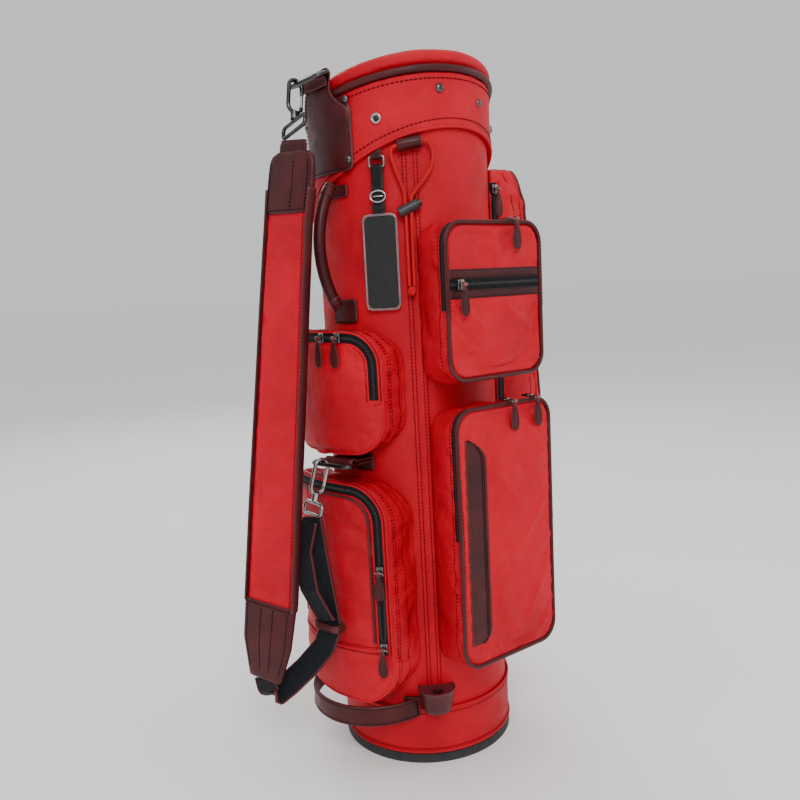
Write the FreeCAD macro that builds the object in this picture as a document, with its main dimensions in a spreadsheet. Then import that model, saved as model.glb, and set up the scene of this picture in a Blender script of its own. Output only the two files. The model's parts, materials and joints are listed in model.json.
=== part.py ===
"""Golf staff bag: a tall cylindrical bag with a padded rim, wrap-round pockets and a shoulder strap.

Frame: millimetres, +Z up, origin at the centre of the base on the floor.  The two large pockets
face -Y, the shoulder strap hangs on -X and the long garment pocket is on +X.  Places on the round
body are given as a bearing, a radius and a height: bearing 0 is the front (-Y), -90 the strap side.
"""
import FreeCAD, Part
import math
import os
import re

import Sketcher

Vector = FreeCAD.Vector
Rotation = FreeCAD.Rotation
Placement = FreeCAD.Placement

DIMENSIONS = [
    ("foot_radius", 116, "moulded foot, outer radius"),
    ("foot_height", 12, "moulded foot, height"),
    ("floor_thickness", 5, "moulded floor inside the foot"),
    ("cup_radius", 108.7, "upstand of the base cup, outer radius"),
    ("cup_wall", 4, "upstand of the base cup, wall"),
    ("cup_height", 60, "upstand of the base cup, height"),
    ("skin_gap", 0.3, "clearance between neighbouring pieces"),
    ("shell_radius", 113, "body tube, outer radius"),
    ("shell_wall", 4, "body tube, wall"),
    ("band_radius", 115.5, "band round the base, outer radius"),
    ("band_top", 74, "band round the base, upper seam"),
    ("cuff_radius", 118, "cuff, outer radius"),
    ("seam_height", 741, "cuff's lower seam at the bag's centre"),
    ("seam_slope", 0.52, "fall of the cuff's lower seam towards the back"),
    ("rim_height", 841, "rim piping at the bag's centre"),
    ("rim_slope", 0.225, "fall of the rim towards the back"),
    ("piping_radius", 4.5, "rim piping, section"),
    ("roll_radius", 12.5, "padded rim roll, section"),
    ("roll_ring", 106, "padded rim roll, ring radius"),
    ("roll_lift", 14.5, "rim roll's centre above the piping"),
    ("divider_drop", 34, "divider frame's underside below the rim"),
    ("divider_depth", 18, "divider frame, depth"),
    ("divider_rail", 9.6, "divider frame, width of the outer ring"),
    ("divider_bar", 12, "divider frame, width of a padded bar"),
    ("divider_offset", 33, "cross bars, distance from the centre"),
    ("wall_thickness", 2, "full-length divider sheets"),
    ("cross_reach", 97, "cross sheets, distance from the centre to each end"),
    ("spine_reach", 102.5, "spine sheets, distance from the centre to the far end"),
    ("stay_ring", 100, "stay rods, distance from the centre"),
    ("stay_radius", 3, "stay rod, section"),
    ("socket_radius", 24, "umbrella cup, outer radius at the top"),
    ("socket_foot", 18, "umbrella cup, outer radius at the bottom"),
    ("socket_ring", 118, "umbrella cup, distance from the centre"),
    ("socket_bearing", -32, "umbrella cup, bearing"),
    ("socket_low", 76, "umbrella cup, bottom"),
    ("socket_height", 30, "umbrella cup, height"),
    ("socket_bore", 7, "umbrella cup, hole radius"),
    ("socket_depth", 24, "umbrella cup, hole depth"),
    ("socket_offset", 11, "umbrella cup, hole's foot outside the boss's axis"),
    ("socket_tilt", 5, "umbrella cup, outward lean of the hole in degrees"),
    ("pouch_wall", 3, "pocket fabric with its lining and foam"),
    ("zip_width", 10, "zip tape that shows"),
    ("zip_depth", 1.4, "zip tape, thickness"),
    ("zip_proud", 0.8, "zip teeth above the fabric"),
    ("slider_width", 10, "zip slider, width"),
    ("slider_length", 12, "zip slider, length"),
    ("slider_depth", 4, "zip slider, thickness"),
    ("bail_height", 8, "pull's hinge bar above the tape"),
    ("bail_radius", 0.9, "pull's hinge bar, section"),
    ("pull_length", 34, "leather pull, length"),
    ("pull_width", 12, "leather pull, width"),
    ("pull_neck", 5, "leather pull, width at its hole"),
    ("pull_thickness", 2.4, "leather pull, thickness"),
    ("pull_eye", 2.6, "leather pull, outer radius of its rolled eye"),
    ("patch_half_angle", 24, "cuff patch, half its width in degrees"),
    ("patch_low", 756, "cuff patch, lower edge"),
    ("patch_high", 860, "cuff patch, limit above the piping"),
    ("patch_depth", 2.5, "cuff patch, leather"),
    ("neck_width", 54, "loop that holds the top ring, width"),
    ("neck_low", 819, "loop that holds the top ring, lower edge"),
    ("neck_height", 48, "loop that holds the top ring, height"),
    ("neck_standoff", 7.6, "loop that holds the top ring, its face outside the cuff"),
    ("eye_radius", 6.2, "leather folds round the strap rings, outer radius"),
    ("eye_standoff", 7.4, "top ring's hinge bar outside the cuff"),
    ("eye_height", 870, "top ring's hinge bar, height"),
    ("top_ring_tilt", 20, "top ring, droop in degrees"),
    ("top_ring_width", 66, "top ring, width"),
    ("ring_depth", 20, "strap rings, depth"),
    ("lower_bearing", -77, "lower ring, bearing"),
    ("lower_ring_radius", 147, "lower ring's hinge bar, distance from the centre"),
    ("lower_ring_height", 405, "lower ring, height"),
    ("lower_ring_width", 60, "lower ring, width"),
    ("tongue_width", 46, "leather tongue that holds the lower ring, width"),
    ("ring_bar", 3, "strap rings, section radius"),
    ("hook_bar", 2.6, "snap hooks, section radius"),
    ("hook_half_width", 9, "snap hooks, half the loop's width"),
    ("hook_base", 37, "snap hooks, from the ring's bar to the loop's base"),
    ("gate_top", 12, "snap hooks, from the ring's bar to the gate's free end"),
    ("gate_foot", 28, "snap hooks, from the ring's bar to the gate's pivot"),
    ("gate_radius", 2.1, "snap hooks, section of the gate"),
    ("strap_width", 75, "shoulder pad, width"),
    ("strap_thickness", 13, "shoulder pad, thickness"),
    ("webbing_width", 32, "adjusting strap, width"),
    ("webbing_thickness", 3.6, "adjusting strap, thickness"),
    ("grip_radius", 7.5, "leather grip, section"),
    ("grip_bearing", -81, "leather grip, bearing"),
    ("handle_width", 26, "base handle, width of its strap"),
    ("handle_thickness", 4, "base handle, leather"),
    ("handle_low", 66, "base handle, lower edge"),
    ("handle_centre", 86.5, "base handle, centre of its bow"),
    ("handle_start", 82.5, "base handle, where its bow starts on the strap side"),
    ("handle_bow", 85.5, "base handle, outer radius of its bow"),
    ("arch_margin", 4, "side pockets, fabric outside the arched zip"),
    ("garment_middle", 470, "garment pocket, height where it is fullest"),
    ("garment_foot_radius", 119, "garment pocket, its radius at the bottom"),
    ("garment_head_radius", 116, "garment pocket, its radius at the top"),
    ("garment_zip_length", 545, "garment pocket, length of its zip"),
    ("chest_zip_low", 610, "level zip, lower edge"),
    ("chest_zip_length", 140, "level zip, length"),
    ("tag_bearing", -52, "luggage tag, bearing"),
    ("tag_width", 43, "luggage tag, width"),
    ("tag_height", 114, "luggage tag, height of the sleeve"),
    ("tag_thickness", 4, "luggage tag, thickness"),
    ("tag_strap", 14, "luggage tag, width of its strap"),
    ("cord_radius", 2.3, "umbrella cord, section"),
    ("cord_standoff", 120.3, "umbrella cord, distance from the bag's centre"),
    ("cord_tube_radius", 7, "leather cord tube, outer radius"),
    ("lock_radius", 6.5, "cord lock, barrel radius"),
    ("lock_length", 24, "cord lock, barrel length"),
    ("button_radius", 4.4, "cord lock, button radius"),
    ("button_length", 6.2, "cord lock, button length"),
    ("button_proud", 4.5, "cord lock, button outside its barrel"),
    ("knot_radius", 6, "cord knot, radius"),
]

FRONT_UPPER = dict(back_width=56, back_low=494, back_high=689, face_width=76, face_low=504, face_high=686,
                   corner=24, back=85, face=170, zip_low=585)
FRONT_LOWER = dict(back_width=49, back_low=129, back_high=461, face_width=77, face_low=157, face_high=472,
                   corner=24, back=85, face=177, zip_low=311)
SIDE_UPPER = dict(back_width=85, back_low=425, back_high=562, face_width=98, face_low=413, face_high=568,
                  corner=40, back=60, face=150, zip_low=484)
SIDE_LOWER = dict(back_width=85, back_low=108, back_high=372, face_width=104, face_low=97, face_high=384,
                  corner=44, back=60, face=160, zip_low=165)
GARMENT = dict(back_width=84, back_low=130, back_high=770, face_width=84, face_low=130, face_high=770,
               corner=40, back=60, face=182, zip_low=200)

TALL = 900      # cutting tools are taller than the bag
WIDE = 400      # and wider

document = FreeCAD.newDocument("StaffBag")
sheet = document.addObject("Spreadsheet::Sheet", "Dims")
nodes = []


def fill_sheet():
    """Write every driving dimension as a name, a value with an alias and a note."""
    pockets = dict(front_upper=FRONT_UPPER, front_lower=FRONT_LOWER, side_upper=SIDE_UPPER,
                   side_lower=SIDE_LOWER, garment=GARMENT)
    rows = list(DIMENSIONS)
    for pocket, sizes in pockets.items():
        rows += [(f"{pocket}_{key}", number, f"{pocket} pocket, {key}") for key, number in sizes.items()]
    for row, (alias, number, note) in enumerate(rows, start=1):
        sheet.set(f"A{row}", alias)
        sheet.set(f"B{row}", str(number))
        sheet.setAlias(f"B{row}", alias)
        sheet.set(f"C{row}", note)
    document.recompute()
    return {alias: float(number) for alias, number, note in rows}


SIZE = fill_sheet()


def bound(formula):
    """A formula on the sheet's aliases, as other objects must write it."""
    return re.sub(r"[a-z_]+", lambda word: f"Dims.{word[0]}" if word[0] in SIZE else word[0], str(formula))


def number(formula):
    """The value that a formula on the sheet has now."""
    return float(sheet.evalExpression(bound(formula)))


def primitive(kind, name, formulas, placement=None):
    """A Part primitive whose properties follow formulas on the sheet."""
    item = document.addObject(f"Part::{kind}", name)
    for property_name, formula in formulas.items():
        item.setExpression(property_name, bound(formula))
    if placement is not None:
        item.Placement = placement
    return item


def cylinder(name, radius, height, placement=None):
    return primitive("Cylinder", name, dict(Radius=radius, Height=height), placement)


def box(name, length, width, height, placement=None):
    return primitive("Box", name, dict(Length=length, Width=width, Height=height), placement)


def combine(kind, name, base, tool):
    item = document.addObject(f"Part::{kind}", name)
    item.Base = base
    item.Tool = tool
    return item


def cut(name, base, *tools):
    """The base with each tool taken away in turn."""
    for index, tool in enumerate(tools):
        last = index == len(tools) - 1
        base = combine("Cut", name if last else f"{name}_cut{index}", base, tool)
    return base


def common(name, base, tool):
    return combine("Common", name, base, tool)


def fuse(name, *pieces):
    item = document.addObject("Part::MultiFuse", name)
    item.Shapes = list(pieces)
    return item


def group(name, *pieces):
    """Separate solids that share one node."""
    item = document.addObject("Part::Compound", name)
    item.Links = list(pieces)
    return item


def solid(name, shape, placement=None):
    """A shape that no primitive or sketch makes, such as a swept or slanted piece."""
    item = document.addObject("Part::Feature", name)
    item.Shape = shape
    if placement is not None:
        item.Placement = placement
    return item


def node(item, name):
    """Name a finished sub-part and list it for export."""
    item.Label = name
    nodes.append((name, item))
    return item


def raised(height):
    return Placement(Vector(0, 0, number(height)), Rotation())


def place(bearing, radius, height):
    """A point on or off the round body."""
    angle = math.radians(bearing)
    return Vector(radius * math.sin(angle), -radius * math.cos(angle), height)


def facing(bearing, radius=0.0, height=0.0):
    """A placement whose +Y points out of the bag, +X along its surface and +Z up."""
    return Placement(place(bearing, radius, height), Rotation(Vector(0, 0, 1), 180 + bearing))


def sector(name, inner, outer, low, high, bearing, half_angle):
    """A curved plate on the round body, centred on a bearing."""
    plate = cylinder(f"{name}_plate", outer, f"{high} - ({low})", raised(low))
    plate.setExpression("Angle", bound(f"2 * ({half_angle})"))
    turn = Rotation(Vector(0, 0, 1), bearing - 90 - number(half_angle))
    plate.Placement = Placement(Vector(0, 0, number(low)), turn)
    bore = cylinder(f"{name}_bore", inner, f"{high} - ({low}) + 2", raised(f"{low} - 1"))
    return cut(name, plate, bore)


def slanted_block(name, low, high, slope):
    """Everything between two parallel planes z = height - slope * y."""
    reach = 2 * SIZE["cuff_radius"]
    bottom, top, fall = number(low), number(high), number(slope)
    corners = [(-reach, -reach), (reach, -reach), (reach, reach), (-reach, reach), (-reach, -reach)]
    outline = Part.makePolygon([Vector(x, y, bottom - fall * y) for x, y in corners])
    return solid(name, Part.Face(outline).extrude(Vector(0, 0, top - bottom)))


def slanted_ring(name, ring, height, slope, section):
    """A round section swept round the bag in a plane that falls towards the back."""
    radius, level, fall, thick = number(ring), number(height), number(slope), number(section)
    ellipse = Part.Ellipse(Vector(0, radius, level - fall * radius), Vector(radius, 0, level),
                           Vector(0, 0, level))
    path = Part.Wire(ellipse.toShape())
    start = path.Edges[0].valueAt(path.Edges[0].FirstParameter)
    along = path.Edges[0].tangentAt(path.Edges[0].FirstParameter)
    profile = Part.Wire(Part.makeCircle(thick, start, along))
    return solid(name, path.makePipeShell([profile], True, True))


def route_edges(points, closed=False):
    """Straight runs joined by tangent arcs, each arc as large as its two runs allow."""
    share = 0.45
    edges = []
    radii = []
    start = points[0]
    for before, corner, after in zip(points, points[1:], points[2:]):
        into = (corner - before).normalize()
        out = (after - corner).normalize()
        turn = into.getAngle(out)
        trim = share * min((corner - before).Length, (after - corner).Length)
        radii.append(trim / math.tan(turn / 2))
        first = corner - into * trim
        last = corner + out * trim
        inward = (out - into).normalize()
        middle = corner + inward * (radii[-1] / math.cos(turn / 2) - radii[-1])
        edges.append(Part.LineSegment(start, first).toShape())
        edges.append(Part.Arc(first, middle, last).toShape())
        start = last
    edges.append(Part.LineSegment(start, points[-1]).toShape())
    return edges, radii


def tube(name, points, radius):
    """A round cord or bar along a route; its volume is compared with section times length."""
    edges, radii = route_edges(points)
    path = Part.Wire(edges)
    profile = Part.Wire(Part.makeCircle(radius, points[0], points[1] - points[0]))
    shape = path.makePipeShell([profile], True, False)
    expected = math.pi * radius ** 2 * path.Length
    print(f"{name}: length {path.Length:.1f} mm, smallest arc {min(radii):.1f} mm, "
          f"volume ratio {shape.Volume / expected:.4f}")
    return shape


def outline_sketch(body, role, name, offset, half_width, low, high, corner):
    """A rectangle with rounded corners, centred on the vertical axis of one origin plane."""
    sketch = body.newObject("Sketcher::SketchObject", name)
    plane = [item for item in body.Origin.OriginFeatures if item.Role == role][0]
    sketch.AttachmentSupport = [(plane, "")]
    sketch.MapMode = "FlatFace"
    sketch.setExpression("AttachmentOffset.Base.z", bound(offset))
    wide, bottom, top, bend = (number(item) for item in (half_width, low, high, corner))
    inner, floor, ceiling = wide - bend, bottom + bend, top - bend
    centres = [(inner, floor), (inner, ceiling), (-inner, ceiling), (-inner, floor)]
    ends = [(-inner, bottom), (inner, bottom), (wide, floor), (wide, ceiling),
            (inner, top), (-inner, top), (-wide, ceiling), (-wide, floor)]
    for side in range(4):
        first, last = ends[2 * side], ends[2 * side + 1]
        sketch.addGeometry(Part.LineSegment(Vector(*first, 0), Vector(*last, 0)))
    for side, (x, y) in enumerate(centres):
        circle = Part.Circle(Vector(x, y, 0), Vector(0, 0, 1), bend)
        start = math.radians(90 * side - 90)
        sketch.addGeometry(Part.ArcOfCircle(circle, start, start + math.pi / 2))
    for side in range(4):
        arc, following = 4 + side, (side + 1) % 4
        sketch.addConstraint(Sketcher.Constraint("Tangent", side, 2, arc, 1))
        sketch.addConstraint(Sketcher.Constraint("Tangent", arc, 2, following, 1))
    for side in (1, 2, 3):
        sketch.addConstraint(Sketcher.Constraint("Equal", 4, 4 + side))
    sketch.addConstraint(Sketcher.Constraint("Horizontal", 0))
    measures = [
        (Sketcher.Constraint("Radius", 4, bend), corner),
        (Sketcher.Constraint("DistanceY", -1, 1, 0, 1, bottom), low),
        (Sketcher.Constraint("DistanceY", -1, 1, 2, 1, top), high),
        (Sketcher.Constraint("DistanceX", -1, 1, 1, 1, wide), half_width),
        (Sketcher.Constraint("DistanceX", 3, 1, -1, 1, wide), half_width),
    ]
    for constraint, formula in measures:
        index = sketch.addConstraint(constraint)
        sketch.setExpression(f"Constraints[{index}]", bound(formula))
    return sketch


def revolved(name, outline):
    """A closed outline of radius and height formulas, turned round the vertical axis."""
    body = document.addObject("PartDesign::Body", name)
    sketch = body.newObject("Sketcher::SketchObject", f"{name}_outline")
    plane = [item for item in body.Origin.OriginFeatures if item.Role == "XZ_Plane"][0]
    sketch.AttachmentSupport = [(plane, "")]
    sketch.MapMode = "FlatFace"
    spots = [Vector(number(across), number(up), 0) for across, up in outline]
    count = len(spots)
    for index, spot in enumerate(spots):
        sketch.addGeometry(Part.LineSegment(spot, spots[(index + 1) % count]))
    for index in range(count):
        sketch.addConstraint(Sketcher.Constraint("Coincident", index, 2, (index + 1) % count, 1))
    for index, (across, up) in enumerate(outline):
        for kind, formula, axis in (("DistanceX", across, -2), ("DistanceY", up, -1)):
            if number(formula) == 0:
                sketch.addConstraint(Sketcher.Constraint("PointOnObject", index, 1, axis))
                continue
            row = sketch.addConstraint(Sketcher.Constraint(kind, -1, 1, index, 1, number(formula)))
            sketch.setExpression(f"Constraints[{row}]", bound(formula))
    turn = body.newObject("PartDesign::Revolution", f"{name}_turn")
    turn.Profile = sketch
    turn.ReferenceAxis = (sketch, ["V_Axis"])
    turn.Angle = 360
    return body


def make_structure():
    """Foot and base cup, body tube, base band, cuff, rim piping and rim roll."""
    inner = "cup_radius - cup_wall"
    base_cup = revolved("base_cup", [
        (0, 0), ("foot_radius", 0), ("foot_radius", "foot_height"), ("cup_radius", "foot_height"),
        ("cup_radius", "cup_height"), (inner, "cup_height"), (inner, "floor_thickness"),
        (0, "floor_thickness")])
    node(base_cup, "base_cup")

    seat = "foot_height + skin_gap"
    skin = "shell_radius + skin_gap"
    base_band = revolved("base_band", [(skin, seat), ("band_radius", seat), ("band_radius", "band_top"),
                                       (skin, "band_top")])
    node(base_band, "base_band")

    height = "rim_height + 60"
    outer = cylinder("shell_outer", "shell_radius", height, raised(seat))
    bore = cylinder("shell_bore", "shell_radius - shell_wall", height, raised(seat))
    tall = cut("shell_tall", outer, bore)
    below_rim = slanted_block("below_rim", -200, "rim_height + 0.5", "rim_slope")
    node(common("body_shell_shape", tall, below_rim), "body_shell")

    cuff_outer = cylinder("cuff_outer", "cuff_radius", height)
    cuff_bore = cylinder("cuff_bore", skin, height)
    cuff_tall = cut("cuff_tall", cuff_outer, cuff_bore)
    above_seam = slanted_block("above_seam", "seam_height", "seam_height + 400", "seam_slope")
    below_piping = slanted_block("below_piping", -200, "rim_height - piping_radius - 0.6", "rim_slope")
    cuff_open = common("cuff_open", cuff_tall, above_seam)
    node(common("cuff_shape", cuff_open, below_piping), "cuff_shell")

    piping = slanted_ring("piping_ring", "cuff_radius", "rim_height", "rim_slope", "piping_radius")
    node(piping, "rim_piping")
    roll = slanted_ring("roll_torus", "roll_ring", "rim_height + roll_lift", "rim_slope", "roll_radius")
    node(roll, "rim_roll")


def make_dividers():
    """Six-way divider frame under the rim, the sheets below it and four stay rods."""
    low = "rim_height - divider_drop"
    tall = "rim_height + 100"
    reach = "shell_radius - shell_wall - skin_gap - 0.1"
    rail = cut("divider_rail_ring", cylinder("rail_outer", reach, tall),
               cylinder("rail_bore", f"{reach} - divider_rail", tall))
    span = f"2 * ({reach} - divider_rail / 2)"
    bars = []
    for index, side in enumerate((-1, 1)):
        corner = Vector(-number(span) / 2, side * SIZE["divider_offset"] - SIZE["divider_bar"] / 2, 0)
        bars.append(box(f"cross_bar{index}", span, "divider_bar", tall, Placement(corner, Rotation())))
    spine_corner = Vector(-SIZE["divider_bar"] / 2, -number(span) / 2, 0)
    bars.append(box("spine_bar", "divider_bar", span, tall, Placement(spine_corner, Rotation())))
    inside = cylinder("bar_limit", f"{reach} - divider_rail / 2", tall)
    grid = common("divider_grid", fuse("divider_bars", *bars), inside)
    whole = fuse("divider_whole", rail, grid)
    slab = slanted_block("divider_slab", low, f"{low} + divider_depth", "rim_slope")
    node(common("divider_shape", whole, slab), "divider_frame")

    below = slanted_block("below_divider", -200, f"{low} - skin_gap", "rim_slope")
    floor = raised("floor_thickness")
    thin = "wall_thickness"
    sheets = []
    for index, side in enumerate((-1, 1)):
        corner = Vector(-SIZE["cross_reach"], side * SIZE["divider_offset"] - SIZE["wall_thickness"] / 2,
                        floor.Base.z)
        across_at = Placement(corner, Rotation())
        sheets.append(box(f"cross_sheet{index}", "2 * cross_reach", thin, tall, across_at))
    outer_length = f"spine_reach - divider_offset - {thin}"
    inner_end = SIZE["divider_offset"] - SIZE["wall_thickness"]
    outer_start = SIZE["divider_offset"] + SIZE["wall_thickness"]
    spans = [(-SIZE["spine_reach"], outer_length), (-inner_end, f"2 * (divider_offset - {thin})"),
             (outer_start, outer_length)]
    for index, (start, length) in enumerate(spans):
        corner = Vector(-SIZE["wall_thickness"] / 2, start, floor.Base.z)
        sheets.append(box(f"spine_sheet{index}", thin, length, tall, Placement(corner, Rotation())))
    trimmed = [common(f"sheet_trimmed{index}", piece, below) for index, piece in enumerate(sheets)]
    node(group("divider_sheets", *trimmed), "divider_walls")

    rods = []
    for index, bearing in enumerate((45, 135, 225, 315)):
        spot = place(bearing, SIZE["stay_ring"], SIZE["floor_thickness"])
        rod = cylinder(f"stay{index}", "stay_radius", tall, Placement(spot, Rotation()))
        rods.append(common(f"stay_trimmed{index}", rod, below))
    node(group("stay_group", *rods), "stay_rods")


def make_umbrella_cup():
    """Moulded cup on the base that takes an umbrella's tip."""
    bearing = SIZE["socket_bearing"]
    at = facing(bearing, SIZE["socket_ring"], SIZE["socket_low"])
    boss = primitive("Cone", "socket_boss", dict(Radius1="socket_foot", Radius2="socket_radius",
                                                 Height="socket_height"), at)
    hole_at = facing(bearing, number("socket_ring + socket_offset"),
                     number("socket_low + socket_height - socket_depth"))
    lean = Rotation(Vector(1, 0, 0), -SIZE["socket_tilt"])
    hole_at = Placement(hole_at.Base, hole_at.Rotation.multiply(lean))
    hole = cylinder("socket_hole", "socket_bore", "socket_depth + 3", hole_at)
    body = cylinder("socket_back", "shell_radius + skin_gap", "2 * socket_height", raised("socket_low - 5"))
    node(cut("socket_shape", boss, body, hole), "umbrella_cup")


def pocket_solid(name, pocket, role, sign, grow):
    """The pocket's block, lofted from its outline on the bag to its outline in front."""
    body = document.addObject("PartDesign::Body", name)
    back = outline_sketch(body, role, f"{name}_back", f"{sign} * ({pocket}_back)",
                          f"{pocket}_back_width + {grow}", f"{pocket}_back_low - {grow}",
                          f"{pocket}_back_high + {grow}", f"{pocket}_corner + {grow}")
    front = outline_sketch(body, role, f"{name}_front", f"{sign} * ({pocket}_face)",
                           f"{pocket}_face_width + {grow}", f"{pocket}_face_low - {grow}",
                           f"{pocket}_face_high + {grow}", f"{pocket}_corner + {grow}")
    loft = body.newObject("PartDesign::AdditiveLoft", f"{name}_loft")
    loft.Profile = back
    loft.Sections = [front]
    loft.Ruled = True
    return body


def band_above(name, pocket, inner, outer):
    """The part of a round slab between two radii that is above the zip's lower ends."""
    low = f"{pocket}_zip_low"
    return cut(f"{name}_ring", cylinder(f"{name}_outer", outer, TALL, raised(low)),
               cylinder(f"{name}_inner", inner, TALL + 2, raised(f"{low} - 1")))


def make_front_pocket(pocket):
    """A pocket with a flat front: gusset, front panel and a zip over its top."""
    block = pocket_solid(f"{pocket}_block", pocket, "XZ_Plane", 1, 0)
    cavity = pocket_solid(f"{pocket}_cavity", pocket, "XZ_Plane", 1, "-pouch_wall")
    proud = pocket_solid(f"{pocket}_proud", pocket, "XZ_Plane", 1, "zip_proud")
    deep = pocket_solid(f"{pocket}_deep", pocket, "XZ_Plane", 1, "-zip_depth")
    face = SIZE[f"{pocket}_face"]
    skin_at = Placement(Vector(-WIDE / 2, -face - 10, 0), Rotation())
    front_skin = box(f"{pocket}_front_skin", WIDE, "pouch_wall + 10", TALL, skin_at)
    hollow = cut(f"{pocket}_hollow", cavity, front_skin)
    zip_front = Vector(-WIDE / 2, -face + SIZE["pouch_wall"], SIZE[f"{pocket}_zip_low"])
    slab = box(f"{pocket}_zip_slab", WIDE, "zip_width", TALL, Placement(zip_front, Rotation()))
    tape = common(f"{pocket}_tape", cut(f"{pocket}_rim", proud, deep), slab)
    body = cylinder(f"{pocket}_body", "shell_radius + skin_gap", TALL)
    node(cut(f"{pocket}_shape", block, hollow, body, tape), f"{pocket}_pouch")
    return tape


def make_front_pockets():
    """Both front pockets and the level zip across the upper one."""
    upper = make_front_pocket("front_upper")
    lower = make_front_pocket("front_lower")
    corner = Vector(-SIZE["chest_zip_length"] / 2, -SIZE["front_upper_face"] - SIZE["zip_depth"] - 0.05,
                    SIZE["chest_zip_low"])
    chest = box("chest_tape", "chest_zip_length", "zip_depth", "zip_width", Placement(corner, Rotation()))
    node(group("front_upper_zips", upper, chest), "front_upper_zip")
    node(lower, "front_lower_zip")


def make_side_pocket(pocket):
    """A pocket that wraps round the strap side, with an arched zip on its curved face."""
    block = pocket_solid(f"{pocket}_block", pocket, "YZ_Plane", -1, 0)
    cavity = pocket_solid(f"{pocket}_cavity", pocket, "YZ_Plane", -1, "-pouch_wall")
    inset = pocket_solid(f"{pocket}_inset", pocket, "YZ_Plane", -1,
                         "-zip_width - arch_margin")
    margin = pocket_solid(f"{pocket}_margin", pocket, "YZ_Plane", -1, "-arch_margin")
    face = f"{pocket}_face"
    limit = cylinder(f"{pocket}_limit", face, TALL)
    inner_limit = cylinder(f"{pocket}_inner_limit", f"{face} - pouch_wall", TALL)
    outside = common(f"{pocket}_outside", block, limit)
    hollow = common(f"{pocket}_hollow", cavity, inner_limit)
    arch = cut(f"{pocket}_arch", margin, inset)
    ring = band_above(f"{pocket}_band", pocket, f"{face} - zip_depth + zip_proud", f"{face} + zip_proud")
    tape = common(f"{pocket}_tape", arch, ring)
    body = cylinder(f"{pocket}_body", "shell_radius + skin_gap", TALL)
    node(cut(f"{pocket}_shape", outside, hollow, body, tape), f"{pocket}_pouch")
    node(tape, f"{pocket}_zip")


def garment_bulge(name, inset):
    """A barrel shape that limits how far the garment pocket stands out at each height."""
    low, high = SIZE["garment_back_low"] - 5, SIZE["garment_back_high"] + 5
    start = Vector(SIZE["garment_foot_radius"] - inset, 0, low)
    fullest = Vector(SIZE["garment_face"] - inset, 0, SIZE["garment_middle"])
    end = Vector(SIZE["garment_head_radius"] - inset, 0, high)
    arc = Part.Arc(start, fullest, end).toShape()
    lines = Part.makePolygon([end, Vector(0, 0, high), Vector(0, 0, low), start])
    outline = Part.Wire([arc] + lines.Edges)
    return solid(name, Part.Face(outline).revolve(Vector(0, 0, 0), Vector(0, 0, 1), 360))


def make_garment_pocket():
    """The long pocket on the far side, fullest at mid height, with an upright zip in its gusset."""
    block = pocket_solid("garment_block", "garment", "YZ_Plane", 1, 0)
    cavity = pocket_solid("garment_cavity", "garment", "YZ_Plane", 1, "-pouch_wall")
    under_cuff = slanted_block("garment_limit", 0, "seam_height - 3", "seam_slope")
    inner_limit = slanted_block("garment_inner_limit", 0, "seam_height - 3 - pouch_wall", "seam_slope")
    tall = common("garment_tall", block, garment_bulge("garment_barrel", 0))
    outside = common("garment_outside", tall, under_cuff)
    inner_barrel = garment_bulge("garment_inner_barrel", SIZE["pouch_wall"])
    tall_hollow = common("garment_tall_hollow", cavity, inner_barrel)
    hollow = common("garment_hollow", tall_hollow, inner_limit)
    width = SIZE["garment_face_width"]
    corner = Vector(80, -width - SIZE["zip_proud"], SIZE["garment_zip_low"])
    tape = box("garment_tape", "zip_width", "zip_depth", "garment_zip_length", Placement(corner, Rotation()))
    body = cylinder("garment_body", "shell_radius + skin_gap", TALL)
    node(cut("garment_shape", outside, hollow, body, tape), "garment_pouch")
    node(tape, "garment_zip")


def slider_body(name, over_edge):
    """A zip slider with the bar that its pull hangs on; its bar is at the origin."""
    wide, long, deep = SIZE["slider_width"], SIZE["slider_length"], SIZE["slider_depth"]
    reach, thick = SIZE["bail_height"], 1.8
    if over_edge:
        block_at = Placement(Vector(-wide / 2, -reach - long - 4, -1), Rotation())
        block = box(f"{name}_block", "slider_width", "slider_length", "slider_depth", block_at)
        arm_start, arm_end = -reach - 6, thick / 2
    else:
        block_at = Placement(Vector(-wide / 2, -reach, -long / 2), Rotation())
        block = box(f"{name}_block", "slider_width", "slider_depth", "slider_length", block_at)
        arm_start, arm_end = -reach + deep - 1, thick / 2
    pieces = [block]
    for index, side in enumerate((-1, 1)):
        corner = Vector(side * (wide - thick) / 2 - thick / 2, arm_start, -thick / 2)
        arm_at = Placement(corner, Rotation())
        pieces.append(box(f"{name}_arm{index}", thick, arm_end - arm_start, thick, arm_at))
    axle_at = Placement(Vector(-wide / 2 + 0.4, 0, 0), Rotation(Vector(0, 1, 0), 90))
    pieces.append(cylinder(f"{name}_axle", "bail_radius", "slider_width - 0.8", axle_at))
    return fuse(f"{name}_shape", *pieces)


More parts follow.
